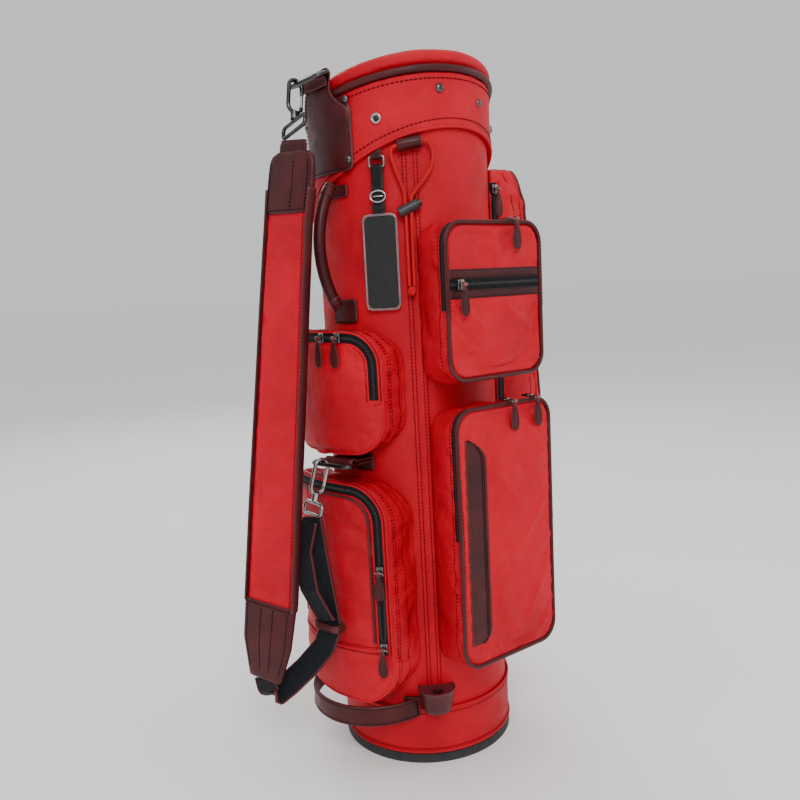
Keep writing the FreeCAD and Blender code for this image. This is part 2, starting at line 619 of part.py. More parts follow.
def pull_body(name):
    """A leather pull that hangs from the slider's bar by a rolled eye; the eye is at the origin."""
    body = document.addObject("PartDesign::Body", f"{name}_body")
    pads = [("blade", "pull_width / 2", "-pull_length", "-7", "pull_width / 2 - 0.5"),
            ("neck", "pull_neck / 2", "-12", "-1", "pull_neck / 2 - 0.2")]
    for part_name, half_width, low, high, corner in pads:
        outline = outline_sketch(body, "XZ_Plane", f"{name}_{part_name}_outline", "-pull_thickness / 2",
                                 half_width, low, high, corner)
        pad = body.newObject("PartDesign::Pad", f"{name}_{part_name}")
        pad.Profile = outline
        pad.setExpression("Length", bound("pull_thickness"))
        body.Tip = pad
    across = Placement(Vector(-SIZE["pull_neck"] / 2, 0, 0), Rotation(Vector(0, 1, 0), 90))
    eye = cylinder(f"{name}_eye", "pull_eye", "pull_neck", across)
    through = Placement(Vector(-SIZE["pull_neck"], 0, 0), Rotation(Vector(0, 1, 0), 90))
    hole = cylinder(f"{name}_hole", "bail_radius + 0.15", "2 * pull_neck", through)
    return cut(f"{name}_shape", fuse(f"{name}_whole", body, eye), hole)


def make_sliders():
    """Nine zip sliders, each with its own pull."""
    reach = SIZE["bail_height"]
    proud = SIZE["zip_proud"]
    edge, above_edge = 7.5, 2.5
    upper_face, lower_face = SIZE["front_upper_face"], SIZE["front_lower_face"]
    upper_top = SIZE["front_upper_face_high"] + above_edge
    lower_top = SIZE["front_lower_face_high"] + above_edge
    garment_wide = SIZE["garment_face_width"]
    spots = [
        ("front_upper", True, 0, Vector(30, -upper_face - edge, upper_top)),
        ("chest", False, 0, Vector(-58, -upper_face - SIZE["zip_depth"] - 0.15 - reach, 615)),
        ("front_lower_left", True, 0, Vector(10, -lower_face - edge, lower_top)),
        ("front_lower_right", True, 0, Vector(50, -lower_face - edge, lower_top)),
        ("side_upper_left", False, -83, place(-83, SIZE["side_upper_face"] + proud + 0.3 + reach, 559)),
        ("side_upper_right", False, -73, place(-73, SIZE["side_upper_face"] + proud + 0.3 + reach, 559)),
        ("side_lower_top", False, -56, place(-56, SIZE["side_lower_face"] + proud + 0.3 + reach, 276)),
        ("side_lower_bottom", False, -56, place(-56, SIZE["side_lower_face"] + proud + 0.3 + reach, 178)),
        ("garment", False, 0, Vector(85, -garment_wide - proud - 0.1 - reach, 735)),
    ]
    for label, over_edge, bearing, spot in spots:
        turn = Rotation(Vector(0, 0, 1), 180 + bearing)
        slider = slider_body(f"{label}_slider", over_edge)
        slider.Placement = Placement(spot, turn)
        node(slider, f"{label}_slider")
        pull = pull_body(f"{label}_pull")
        pull.Placement = Placement(spot, turn)
        node(pull, f"{label}_pull")
        print(f"pull hinge {label}: {spot.x:.2f} {spot.y:.2f} {spot.z:.2f}")


def make_patch():
    """Leather patch on the strap side of the cuff, its ring loop and the metal studs."""
    inner = "cuff_radius + skin_gap"
    outer = f"{inner} + patch_depth"
    tall = sector("patch_tall", inner, outer, "patch_low", "patch_high", -90, "patch_half_angle")
    limit = slanted_block("patch_limit", 0, "rim_height - piping_radius - 0.9", "rim_slope")
    plate = common("patch_plate_trimmed", tall, limit)
    corner = Vector(-SIZE["cuff_radius"] - SIZE["neck_standoff"], -SIZE["neck_width"] / 2, SIZE["neck_low"])
    neck_at = Placement(corner, Rotation())
    neck = box("patch_neck", "patch_depth", "neck_width", "neck_height", neck_at)
    bridge = box("patch_bridge", 16, "neck_width", 5, neck_at)
    lift = cut("patch_bridge_trimmed", bridge, cylinder("patch_inside", inner, TALL))
    across = Rotation(Vector(1, 0, 0), 90)
    eye_centre = Vector(-number("cuff_radius + eye_standoff"), SIZE["neck_width"] / 2, SIZE["eye_height"])
    eye = cylinder("patch_eye", "eye_radius", "neck_width", Placement(eye_centre, across))
    hole_at = Placement(eye_centre + Vector(0, 1, 0), across)
    eye_hole = cylinder("patch_eye_hole", "ring_bar + skin_gap", "neck_width + 2", hole_at)
    whole = fuse("patch_whole", plate, neck, lift, eye)
    node(cut("patch_shape", whole, eye_hole), "strap_patch")

    studs = []
    rivet_radius = number(f"{outer} + skin_gap")
    rivets = [(-111, 820), (-69, 838), (-111, 769), (-69, 769)]
    snaps = [(-51, 812), (-13, 844), (19, 833), (51, 812), (90, 800), (129, 770), (-129, 770)]
    snap_radius = number("cuff_radius + skin_gap")
    for index, (bearing, height) in enumerate(rivets):
        studs.append(stud(f"rivet{index}", bearing, rivet_radius, height, 4.5))
    for index, (bearing, height) in enumerate(snaps):
        studs.append(stud(f"snap{index}", bearing, snap_radius, height, 5.5))
    node(group("stud_group", *studs), "cuff_studs")


def stud(name, bearing, radius, height, size):
    """A round-headed rivet or press stud that stands on the cuff."""
    outward = place(bearing, 1, 0)
    at = Placement(place(bearing, radius, height), Rotation(Vector(0, 0, 1), outward))
    head = document.addObject("Part::Cone", name)
    head.Radius1 = size
    head.Radius2 = size * 0.6
    head.Height = 3
    head.Placement = at
    return head


def ring_shape(width, depth, bar):
    """A rectangular wire ring with round corners in the XY plane, one long bar on the X axis."""
    bend = 2 * bar
    corners = [Vector(-width / 2, 0, 0), Vector(width / 2, 0, 0), Vector(width / 2, depth, 0),
               Vector(-width / 2, depth, 0), Vector(-width / 2, 0, 0)]
    face = Part.Face(Part.makePolygon(corners))
    plate = face.extrude(Vector(0, 0, 2 * bar))
    uprights = [edge for edge in plate.Edges if abs(edge.tangentAt(edge.FirstParameter).z) > 0.9]
    plate = plate.makeFillet(bend, uprights)
    top = [item for item in plate.Faces if item.normalAt(0, 0).z > 0.9][0]
    path = top.OuterWire
    path.translate(Vector(0, 0, -2 * bar))
    first = path.Edges[0]
    start = first.valueAt(first.FirstParameter)
    along = first.tangentAt(first.FirstParameter)
    profile = Part.Wire(Part.makeCircle(bar, start, along))
    return path.makePipeShell([profile], True, True)


def hook_shapes(ring_width):
    """A snap hook hanging from a ring bar at the origin: casting with its swivel ring, and gate."""
    bar, half = SIZE["hook_bar"], SIZE["hook_half_width"]
    crown = SIZE["ring_bar"] + bar + 0.25
    shoulder = crown - half
    gate_top, gate_foot, base = -SIZE["gate_top"], -SIZE["gate_foot"], -SIZE["hook_base"]
    path = [Part.LineSegment(Vector(half, 0, gate_top), Vector(half, 0, shoulder)).toShape(),
            Part.Arc(Vector(half, 0, shoulder), Vector(0, 0, crown), Vector(-half, 0, shoulder)).toShape(),
            Part.LineSegment(Vector(-half, 0, shoulder), Vector(-half, 0, gate_foot)).toShape(),
            Part.Arc(Vector(-half, 0, gate_foot), Vector(0, 0, base), Vector(half, 0, gate_foot)).toShape()]
    wire = Part.Wire(path)
    profile = Part.Wire(Part.makeCircle(bar, Vector(half, 0, gate_top), Vector(0, 0, 1)))
    loop = wire.makePipeShell([profile], True, False)
    swivel = Part.makeCylinder(4.6, 10, Vector(0, 0, base - 9))
    ring = ring_shape(ring_width, 14, 2.4)
    hanging = Rotation(Vector(0, 1, 0), Vector(0, 0, -1), Vector(-1, 0, 0), "XYZ")
    ring.Placement = Placement(Vector(0, 0, base - 11), hanging)
    casting = loop.fuse([swivel, ring])
    foot_room = 1.2
    gate = Part.makeCylinder(SIZE["gate_radius"], gate_top - gate_foot - foot_room - SIZE["skin_gap"],
                             Vector(half, 0, gate_foot + foot_room))
    return casting, gate


def hook_placement(contact, direction):
    """A hook's placement from the ring bar that it hangs on and the way that it hangs."""
    return Placement(contact, Rotation(Vector(), Vector(0, 1, 0), direction * -1, "ZYX"))


def make_hooks():
    """Both strap rings and the two snap hooks that hang on them."""
    bar = SIZE["ring_bar"]
    eye = Vector(-SIZE["cuff_radius"] - SIZE["eye_standoff"], 0, SIZE["eye_height"])
    tilt = Rotation(Vector(0, 1, 0), -SIZE["top_ring_tilt"]).multiply(Rotation(Vector(0, 0, 1), 90))
    top_at = Placement(eye, tilt)
    top = ring_shape(SIZE["top_ring_width"], SIZE["ring_depth"], bar)
    node(solid("top_ring_shape", top, top_at), "top_ring")

    low_at = facing(SIZE["lower_bearing"], SIZE["lower_ring_radius"], SIZE["lower_ring_height"])
    low = ring_shape(SIZE["lower_ring_width"], SIZE["ring_depth"], bar)
    node(solid("lower_ring_shape", low, low_at), "lower_ring")

    hooks = [
        ("upper", top_at.multVec(Vector(14, SIZE["ring_depth"], 0)), Vector(-10.5, -10, -39), 48),
        ("lower", low_at.multVec(Vector(13, SIZE["ring_depth"], 0)), Vector(-12, 0, -38), 38),
    ]
    for name, contact, direction, ring_width in hooks:
        casting, gate = hook_shapes(ring_width)
        at = hook_placement(contact, direction.normalize())
        node(solid(f"{name}_hook_shape", casting, at), f"{name}_hook")
        node(solid(f"{name}_gate_shape", gate, at), f"{name}_gate")
        pivot = at.multVec(Vector(SIZE["hook_half_width"], 0, -SIZE["gate_foot"]))
        across = at.Rotation.multVec(Vector(0, 1, 0))
        print(f"{name} hook: contact {contact}, gate pivot {pivot}, gate axis {across}")
        print(f"{name} hook: strap end {at.multVec(Vector(0, 0, -65.2))}")


def ribbon(sections):
    """A flat strap through sections: centre, bearing that its face looks to, width, thickness."""
    outlines = []
    centres = [Vector(*centre) for centre, bearing, width, thickness in sections]
    for index, (centre, bearing, width, thickness) in enumerate(sections):
        ahead = centres[min(index + 1, len(centres) - 1)]
        behind = centres[max(index - 1, 0)]
        along = (ahead - behind).normalize()
        angle = math.radians(bearing)
        across = Vector(math.cos(angle), math.sin(angle), 0)
        across = (across - along * across.dot(along)).normalize()
        normal = along.cross(across)
        corners = [centres[index] + across * (side * width / 2) + normal * (face * thickness / 2)
                   for side, face in ((-1, -1), (1, -1), (1, 1), (-1, 1), (-1, -1))]
        outlines.append(Part.makePolygon(corners))
    return Part.makeLoft(outlines, True, True)


def make_strap():
    """Shoulder pad with its leather ends, the adjusting strap and its keeper."""
    wide, thick = SIZE["strap_width"], SIZE["strap_thickness"]
    pad = [
        ((-161, -2, 795), -80, 46, 6), ((-162, -1.5, 789), -80, 48, 6), ((-163, -1, 782), -80, wide + 3, 8),
        ((-168, 0, 745), -79, wide + 5, 10), ((-175, 1, 700), -78, wide, thick),
        ((-190, 1, 590), -75, wide, thick), ((-205, 0, 480), -72, wide, thick),
        ((-221, 0, 362), -69, wide, thick), ((-236, 0, 245), -67, wide, thick),
        ((-244, 3, 190), -66, wide - 5, 10), ((-247, 9, 142), -66, 46, 8),
    ]
    node(solid("strap_pad_shape", ribbon(pad)), "strap_pad")

    band, thin = SIZE["webbing_width"], SIZE["webbing_thickness"]
    main = [
        ((-185.5, -25, 342), -77, band, thin), ((-183, -31, 290), -77, band, thin),
        ((-180, -38, 240), -77, band, thin), ((-177, -42, 206), -77, band, thin),
        ((-186, -35, 178), -74, band, thin), ((-204, -20, 152), -71, band, thin),
        ((-224, -4, 129), -68, band, thin), ((-237, 4, 117.5), -66, band, thin),
        ((-245, 8, 122), -66, band, thin), ((-247.6, 9.3, 140.5), -66, band, thin),
    ]
    spare = [
        ((-185, -43, 214), -77, band - 2, thin), ((-200, -32, 255), -77, band - 2, thin),
        ((-203, -27, 305), -77, band - 2, thin), ((-191.5, -25.5, 338.5), -77, band - 2, thin),
    ]
    node(group("webbing_group", solid("webbing_main", ribbon(main)), solid("webbing_spare", ribbon(spare))),
         "strap_webbing")

    keeper_at = facing(SIZE["lower_bearing"], 185, 202)
    outer = Part.makeBox(band + 10, 20, 9, Vector(-(band + 10) / 2, -10, 0))
    inner = Part.makeBox(band + 4, 14.6, 11, Vector(-(band + 4) / 2, -7.3, -1))
    node(solid("keeper_shape", outer.cut(inner), keeper_at), "strap_keeper")


def make_grip():
    """Leather grip under the cuff, and the leather tabs that hold it and the lower ring."""
    bearing = SIZE["grip_bearing"]
    end_radius, bow_radius = 126, 150
    top = place(bearing, end_radius, 741)
    middle = place(bearing, bow_radius, 668)
    bottom = place(bearing, end_radius, 595)
    arc = Part.Arc(top, middle, bottom).toShape()
    start = arc.tangentAt(arc.FirstParameter)
    profile = Part.Wire(Part.makeCircle(SIZE["grip_radius"], top, start))
    shape = Part.Wire(arc).makePipeShell([profile], True, False)
    node(solid("grip_shape", shape), "grip")

    inner = "shell_radius + skin_gap"
    top_tab = sector("grip_top_tab", inner, f"{inner} + 3.4", 727, 742, bearing, 8)
    low_tab = sector("grip_low_tab", inner, f"{inner} + 3.4", 574, 604, bearing, 10)
    ring_tab = sector("ring_tab_plate", inner, f"{inner} + 3", 389, 411, SIZE["lower_bearing"], 12)
    reach = number("lower_ring_radius")
    at = facing(SIZE["lower_bearing"], 0, SIZE["lower_ring_height"])
    wide, start = SIZE["tongue_width"], SIZE["shell_radius"] + 1
    tongue = Part.makeBox(wide, reach - start, 7, Vector(-wide / 2, start, -3.5))
    eye = Part.makeCylinder(SIZE["eye_radius"], wide, Vector(-wide / 2, reach, 0), Vector(1, 0, 0))
    hole_start = Vector(-wide / 2 - 2, reach, 0)
    hole = Part.makeCylinder(number("ring_bar + skin_gap"), wide + 4, hole_start, Vector(1, 0, 0))
    fold = solid("ring_tab_fold", tongue.fuse(eye).cut(hole), at)
    lower_tab = fuse("ring_tab", ring_tab, fold)
    node(group("tab_group", top_tab, low_tab, lower_tab), "side_tabs")


def make_base_handle():
    """Leather strap handle across the base on the strap side."""
    at = Placement(Vector(-SIZE["handle_centre"], 0, SIZE["handle_low"]), Rotation())
    bow = cut("handle_ring", cylinder("handle_outer", "handle_bow", "handle_width", at),
              cylinder("handle_inner", "handle_bow - handle_thickness", "handle_width", at))
    half_at = Placement(Vector(-WIDE - SIZE["handle_start"], -WIDE / 2, 0), Rotation())
    away = box("handle_half", WIDE, WIDE, WIDE, half_at)
    half = common("handle_bow_half", bow, away)
    inner = "band_radius + skin_gap"
    ends = [sector(f"handle_end{index}", inner, f"{inner} + 3", "handle_low", "handle_low + handle_width",
                   bearing, 5) for index, bearing in enumerate((-48, -132))]
    node(fuse("handle_shape", half, *ends), "base_handle")


def make_tag():
    """Luggage tag: wire ring, leather strap and a clear sleeve with a blank card."""
    bearing = SIZE["tag_bearing"]
    standoff, ring_level, drop = 119, 769, 12
    at = facing(bearing, standoff, ring_level)
    hanging = Placement(at.Base, at.Rotation.multiply(Rotation(Vector(1, 0, 0), -90)))
    node(solid("tag_ring_shape", ring_shape(18, drop, 1.4), hanging), "tag_ring")
    tag_at = facing(bearing, standoff, ring_level - drop)
    knuckle = Part.makeCylinder(3.2, 12, Vector(-6, 0, 0), Vector(1, 0, 0))
    pin_hole = Part.makeCylinder(1.7, 14, Vector(-7, 0, 0), Vector(1, 0, 0))
    narrow, wide, tall, thick = (SIZE[key] for key in ("tag_strap", "tag_width", "tag_height",
                                                       "tag_thickness"))
    strap = Part.makeBox(narrow, 2.4, 54, Vector(-narrow / 2, -1.2, -55.5))
    sleeve = Part.makeBox(wide, thick, tall, Vector(-wide / 2, -thick / 2, -54 - tall))
    sleeve = sleeve.makeFillet(8, [edge for edge in sleeve.Edges
                                   if abs(edge.tangentAt(edge.FirstParameter).y) > 0.9])
    shape = knuckle.fuse([strap, sleeve]).cut(pin_hole)
    node(solid("tag_shape", shape, tag_at), "luggage_tag")


def make_umbrella_cord():
    """Elastic umbrella loop: its leather tube, both strands, the barrel lock and the knot."""
    bearing, standoff = -33, 120.5
    left, right = place(bearing, standoff, 779), place(bearing, standoff, 783.5)
    angle = math.radians(bearing)
    across = Vector(math.cos(angle), math.sin(angle), 0)
    left, right = left - across * 14, right + across * 14
    axis = (right - left).normalize()
    outer = Part.makeCylinder(SIZE["cord_tube_radius"], (right - left).Length, left, axis)
    bore = Part.makeCylinder(SIZE["cord_radius"] + 0.3, (right - left).Length + 2, left - axis, axis)
    node(solid("cord_tube_shape", outer.cut(bore)), "cord_tube")

    stand = SIZE["cord_standoff"]
    left_strand = [left] + [place(*spot) for spot in (
        (-42.6, 121.6, 778), (-43.6, 121.4, 770), (-42.0, 121, 757), (-39.6, 120.6, 742),
        (-37.4, 120.4, 730), (-36.4, stand, 719), (-36.4, stand, 616))]
    right_strand = [right] + [place(*spot) for spot in (
        (-23.2, 121.6, 785), (-20.6, 121.4, 778), (-19.4, 121.2, 766), (-21.2, 120.9, 753),
        (-25.0, 120.6, 741), (-29.6, 120.4, 730), (-33.6, stand, 719), (-33.6, stand, 616))]
    node(solid("cord_left_shape", tube("cord_left", left_strand, SIZE["cord_radius"])), "cord_left")
    node(solid("cord_right_shape", tube("cord_right", right_strand, SIZE["cord_radius"])), "cord_right")

    lock_at = facing(-35, stand, 707)
    tilt = Rotation(Vector(0, 1, 0), 25)
    tilted = Placement(lock_at.Base, lock_at.Rotation.multiply(tilt))
    half = SIZE["lock_length"] / 2
    barrel = Part.makeCylinder(SIZE["lock_radius"], 2 * half, Vector(-half, 0, 0), Vector(1, 0, 0))
    pocket = Part.makeCylinder(SIZE["button_radius"] + 0.2, 7, Vector(-half, 0, 0), Vector(1, 0, 0))
    barrel = barrel.cut(pocket)
    barrel.Placement = tilted
    slot = Part.makeBox(12, 5.4, 40, Vector(-6, -2.7, -20))
    slot.Placement = lock_at
    node(solid("lock_shape", barrel.cut(slot)), "cord_lock")
    button_start = Vector(-half - SIZE["button_proud"], 0, 0)
    button = Part.makeCylinder(SIZE["button_radius"], SIZE["button_length"], button_start, Vector(1, 0, 0))
    node(solid("button_shape", button, tilted), "cord_button")
    knot_at = Placement(place(-35, stand, 604), Rotation())
    node(cylinder("knot", "knot_radius", 12, knot_at), "cord_knot")
    print(f"button axis {tilted.Rotation.multVec(Vector(1, 0, 0))}")


def export():
    """Check every object, then write each sub-part to its own file."""
    document.recompute()
    failed = [item.Name for item in document.Objects if {"Invalid", "Error"} & set(item.State)]
    for name, item in nodes:
        shape = item.Shape
        if shape.isNull() or not shape.isValid() or not shape.Solids:
            failed.append(name)
    if failed:
        raise RuntimeError(f"not built: {failed}")
    os.makedirs("parts", exist_ok=True)
    for name, item in nodes:
        item.Shape.exportStep(f"parts/{name}.step")
        print(f"{name}: {len(item.Shape.Solids)} solid(s), {item.Shape.Volume:.0f} mm3")
    print(f"{len(nodes)} nodes")


make_structure()
make_dividers()
make_umbrella_cup()
make_front_pockets()
make_side_pocket("side_upper")
make_side_pocket("side_lower")
make_garment_pocket()
make_sliders()
make_patch()
make_hooks()
make_strap()
make_grip()
make_base_handle()
make_tag()
make_umbrella_cord()
export()
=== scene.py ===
"""Looks of the golf staff bag: sewn nylon, leather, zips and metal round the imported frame."""

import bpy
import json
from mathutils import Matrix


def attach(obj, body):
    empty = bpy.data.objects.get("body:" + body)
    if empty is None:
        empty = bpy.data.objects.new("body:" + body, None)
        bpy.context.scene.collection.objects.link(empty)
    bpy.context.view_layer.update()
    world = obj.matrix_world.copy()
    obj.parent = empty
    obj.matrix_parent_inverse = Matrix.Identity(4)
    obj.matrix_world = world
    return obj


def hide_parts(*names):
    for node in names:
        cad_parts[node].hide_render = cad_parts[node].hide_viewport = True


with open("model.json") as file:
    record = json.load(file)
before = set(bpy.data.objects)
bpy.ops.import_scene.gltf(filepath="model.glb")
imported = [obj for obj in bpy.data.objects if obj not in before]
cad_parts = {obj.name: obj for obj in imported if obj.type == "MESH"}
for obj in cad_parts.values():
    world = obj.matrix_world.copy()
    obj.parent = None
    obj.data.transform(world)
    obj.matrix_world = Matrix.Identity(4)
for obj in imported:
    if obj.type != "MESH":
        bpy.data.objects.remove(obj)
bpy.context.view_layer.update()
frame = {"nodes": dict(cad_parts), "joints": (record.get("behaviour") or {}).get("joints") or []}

import json
import math

import bmesh
import bpy
import numpy as np
from mathutils import Matrix, Vector
from mathutils.bvhtree import BVHTree

MM = 0.001
TAU = 2 * math.pi
BODY_R, SKIN_R, CUFF_R = 113.0, 113.3, 118.0
SEAM, SEAM_SLOPE, RIM, RIM_SLOPE = 741.0, 0.52, 841.0, 0.225
BAND_R, BACK_R = 115.4, 113.9
SEAM_BEARINGS = (-36.2, -29.4, 41.0, 128.0, 171.0)
RED_STITCH, BROWN_STITCH = ("root", "red"), ("root", "brown")
WEAVE_DEPTH, PORES, HIDE_COAT = 0.00012, 820.0, 0.04
WAVES, EVENINGS, TOOTH_PITCH = 9, 3, 2.1
UP = np.array((0.0, 0.0, 1.0))
threads = {}
teeth = {}


# ---------------------------------------------------------------- materials
class Look:
    """A node material on one shader, laid out in the object's own coordinates."""

    def __init__(self, name, roughness, metallic=0.0, sheen=0.0, coat=0.0, specular=0.5):
        self.material = bpy.data.materials.new(name)
        self.material.use_nodes = True
        self.tree = self.material.node_tree
        self.shader = self.tree.nodes["Principled BSDF"]
        values = {"Roughness": roughness, "Metallic": metallic, "Sheen Weight": sheen,
                  "Coat Weight": coat, "Specular IOR Level": specular}
        for key, value in values.items():
            self.shader.inputs[key].default_value = value
        self.coords = self.node("TexCoord").outputs["Object"]

    def node(self, kind, inputs=None, **settings):
        item = self.tree.nodes.new("ShaderNode" + kind)
        for key, value in settings.items():
            setattr(item, key, value)
        for key, value in (inputs or {}).items():
            if isinstance(value, bpy.types.NodeSocket):
                self.tree.links.new(value, item.inputs[key])
            else:
                item.inputs[key].default_value = value
        return item

    def math(self, operation, a, b=0.0):
        return self.node("Math", {0: a, 1: b}, operation=operation).outputs[0]

    def noise(self, scale, detail=3.0, rough=0.55, vector=None):
        inputs = {"Vector": vector or self.coords, "Scale": scale, "Detail": detail, "Roughness": rough}
        return self.node("TexNoise", inputs).outputs["Fac"]

    def cells(self, scale):
        return self.node("TexVoronoi", {"Vector": self.coords, "Scale": scale}).outputs[0]

    def range(self, value, low, high, start, end):
        inputs = {0: value, 1: low, 2: high, 3: start, 4: end}
        return self.node("MapRange", inputs).outputs[0]

    def edges(self, most, low=0.53, high=0.66):
        """How much a spot lies on a raised edge, where things wear."""
        return self.range(self.node("NewGeometry").outputs["Pointiness"], low, high, 0.0, most)

    def wave(self, value, rate):
        return self.math("SINE", self.math("MULTIPLY", value, rate))

    def mix(self, factor, first, second, blend="MIX"):
        item = self.node("Mix", data_type="RGBA", blend_type=blend)
        for socket, value in ((item.inputs[0], factor), (item.inputs[6], first), (item.inputs[7], second)):
            if isinstance(value, bpy.types.NodeSocket):
                self.tree.links.new(value, socket)
            else:
                socket.default_value = value
        return item.outputs[2]

    def bump(self, height, strength, distance, under=None):
        inputs = {"Height": height, "Strength": strength, "Distance": distance}
        if under is not None:
            inputs["Normal"] = under
        return self.node("Bump", inputs).outputs["Normal"]

    def done(self, colour, rough=None, normal=None):
        self.tree.links.new(colour, self.shader.inputs["Base Color"])
        if rough is not None:
            self.tree.links.new(rough, self.shader.inputs["Roughness"])
        if normal is not None:
            self.tree.links.new(normal, self.shader.inputs["Normal"])
        return self.material


def rgb(red, green, blue):
    """An sRGB colour from 0 to 255 as linear light."""
    return tuple((c / 255 / 12.92 if c < 10.3 else ((c / 255 + 0.055) / 1.055) ** 2.4)
                 for c in (red, green, blue)) + (1.0,)


def woven(name, colour, shade, pitch=0.9, rough=0.5, sheen=0.0):
    """Coated nylon: a fine plain weave, cloudy colour, and raised spots painted lighter, partly rub wear and partly a
    painted sheen.
    """
    look = Look(name, rough, sheen=sheen, specular=0.17)
    split = look.node("SeparateXYZ", {0: look.coords}).outputs
    angle = look.math("ARCTAN2", split[0], look.math("MULTIPLY", split[1], -1.0))
    across = look.wave(angle, 0.13 * TAU / (pitch * MM))
    along = look.wave(split[2], TAU / (pitch * MM))
    weave = look.math("MULTIPLY", across, along)
    cloud = look.range(look.noise(9.0, 4.0), 0.3, 0.72, 0.0, 1.0)
    tone = look.mix(cloud, colour, shade)
    specks = look.range(look.noise(900.0, 2.0), 0.35, 0.7, 0.86, 1.1)
    grey = look.node("CombineColor", {0: specks, 1: specks, 2: specks}).outputs[0]
    tone = look.mix(1.0, tone, grey, "MULTIPLY")
    # raised spots painted lighter: partly rub wear, partly a painted sheen
    rub_and_sheen = look.edges(0.25)
    light = tuple(min(1.0, c * 1.3 + 0.004) for c in colour[:3]) + (1.0,)
    tone = look.mix(rub_and_sheen, tone, light)
    gloss = look.range(look.noise(45.0, 4.0), 0.3, 0.7, rough - 0.09, rough + 0.1)
    soft = look.bump(look.noise(34.0, 4.0), 0.35, 0.0022)
    fine = look.bump(look.noise(420.0, 3.0), 0.25, 0.0003, soft)
    return look.done(tone, gloss, look.bump(weave, 0.5, WEAVE_DEPTH, fine))


def hide(name, colour, shade, edge, rough=0.42):
    """Leather: pebbled grain with creases, uneven dye and a paler cut edge."""
    look = Look(name, rough, coat=HIDE_COAT, specular=0.24)
    cells = look.cells(PORES)
    creases = look.noise(130.0, 5.0, 0.65)
    cloud = look.range(look.noise(22.0, 5.0), 0.32, 0.7, 0.0, 1.0)
    tone = look.mix(cloud, colour, shade)
    pores = look.range(cells, 0.0, 0.55, 0.5, 0.0)
    tone = look.mix(pores, tone, tuple(c * 0.4 for c in shade[:3]) + (1.0,))
    worn = look.edges(0.8)
    tone = look.mix(worn, tone, edge)
    gloss = look.range(look.noise(60.0, 4.0), 0.3, 0.7, rough - 0.1, rough + 0.14)
    base = look.bump(creases, 0.35, 0.0012)
    return look.done(tone, gloss, look.bump(cells, 0.45, 0.00035, base))


def metal(name, colour, worn_colour, rough):
    """Plated metal with faint brushing, tarnish and bright edges."""
    look = Look(name, rough, metallic=1.0)
    stretched = look.node("Mapping", {"Vector": look.coords, "Scale": (1.0, 1.0, 0.12)}).outputs[0]
    brush = look.noise(1600.0, 3.0, 0.6, stretched)
    tarnish = look.range(look.noise(90.0, 4.0), 0.35, 0.7, 0.0, 1.0)
    dark = tuple(c * 0.55 for c in colour[:3]) + (1.0,)
    tone = look.mix(tarnish, colour, dark)
    worn = look.edges(0.9, 0.52, 0.62)
    tone = look.mix(worn, tone, worn_colour)
    gloss = look.range(brush, 0.3, 0.7, rough - 0.08, rough + 0.14)
    return look.done(tone, gloss, look.bump(brush, 0.12, 0.00008))


def moulded(name, colour, shade, rough, grain=1400.0, depth=0.00012):
    """Moulded plastic or rubber with a spark-eroded grain and scuffs."""
    look = Look(name, rough, specular=0.4)
    scuffs = look.range(look.noise(70.0, 6.0, 0.7), 0.45, 0.75, 0.0, 1.0)
    tone = look.mix(scuffs, colour, shade)
    worn = look.edges(0.5)
    pale = tuple(min(1.0, c * 1.8 + 0.05) for c in colour[:3]) + (1.0,)
    tone = look.mix(worn, tone, pale)
    gloss = look.range(look.noise(120.0, 4.0), 0.3, 0.7, rough - 0.08, rough + 0.12)
    return look.done(tone, gloss, look.bump(look.cells(grain), 0.4, depth))


def corded(name, colour, shade, pitch, rough=0.7):
    """Braided elastic, tape or webbing: slanted ribs in all three directions."""
    look = Look(name, rough, specular=0.22)
    split = look.node("SeparateXYZ", {0: look.coords}).outputs
    lean = look.math("ADD", split[0], look.math("ADD", split[1], split[2]))
    other = look.math("SUBTRACT", split[2], look.math("ADD", split[0], split[1]))
    first = look.wave(lean, TAU / (pitch * MM))
    second = look.wave(other, TAU / (pitch * MM))
    braid = look.math("MULTIPLY", first, second)
    tone = look.mix(look.range(braid, -1.0, 1.0, 0.0, 1.0), shade, colour)
    cloud = look.range(look.noise(40.0, 4.0), 0.3, 0.7, 0.0, 0.5)
    tone = look.mix(cloud, tone, shade)
    fuzz = look.bump(look.noise(1200.0, 2.0), 0.4, 0.0002)
    return look.done(tone, look.range(look.noise(200.0), 0.3, 0.7, rough - 0.1, rough + 0.1),
                     look.bump(braid, 0.6, 0.0003, fuzz))


def clear_vinyl():
    """Clear sleeve: smooth, thin and slightly rippled."""
    look = Look("vinyl_clear", 0.12, specular=0.6)
    look.shader.inputs["Transmission Weight"].default_value = 0.92
    look.shader.inputs["IOR"].default_value = 1.45
    clouds = look.range(look.noise(60.0, 4.0), 0.35, 0.7, 0.0, 1.0)
    haze = look.mix(clouds, (0.95, 0.96, 0.97, 1), (0.82, 0.84, 0.86, 1))
    gloss = look.range(look.noise(120.0), 0.3, 0.7, 0.06, 0.2)
    return look.done(haze, gloss, look.bump(look.noise(70.0), 0.3, 0.0006))


def paper_floor():
    look = Look("floor_paper", 0.85, specular=0.2)
    clouds = look.range(look.noise(3.0, 3.0), 0.3, 0.7, 0.0, 1.0)
    tone = look.mix(clouds, rgb(252, 252, 251), rgb(249, 249, 248))
    return look.done(tone, None, look.bump(look.noise(220.0), 0.15, 0.0004))


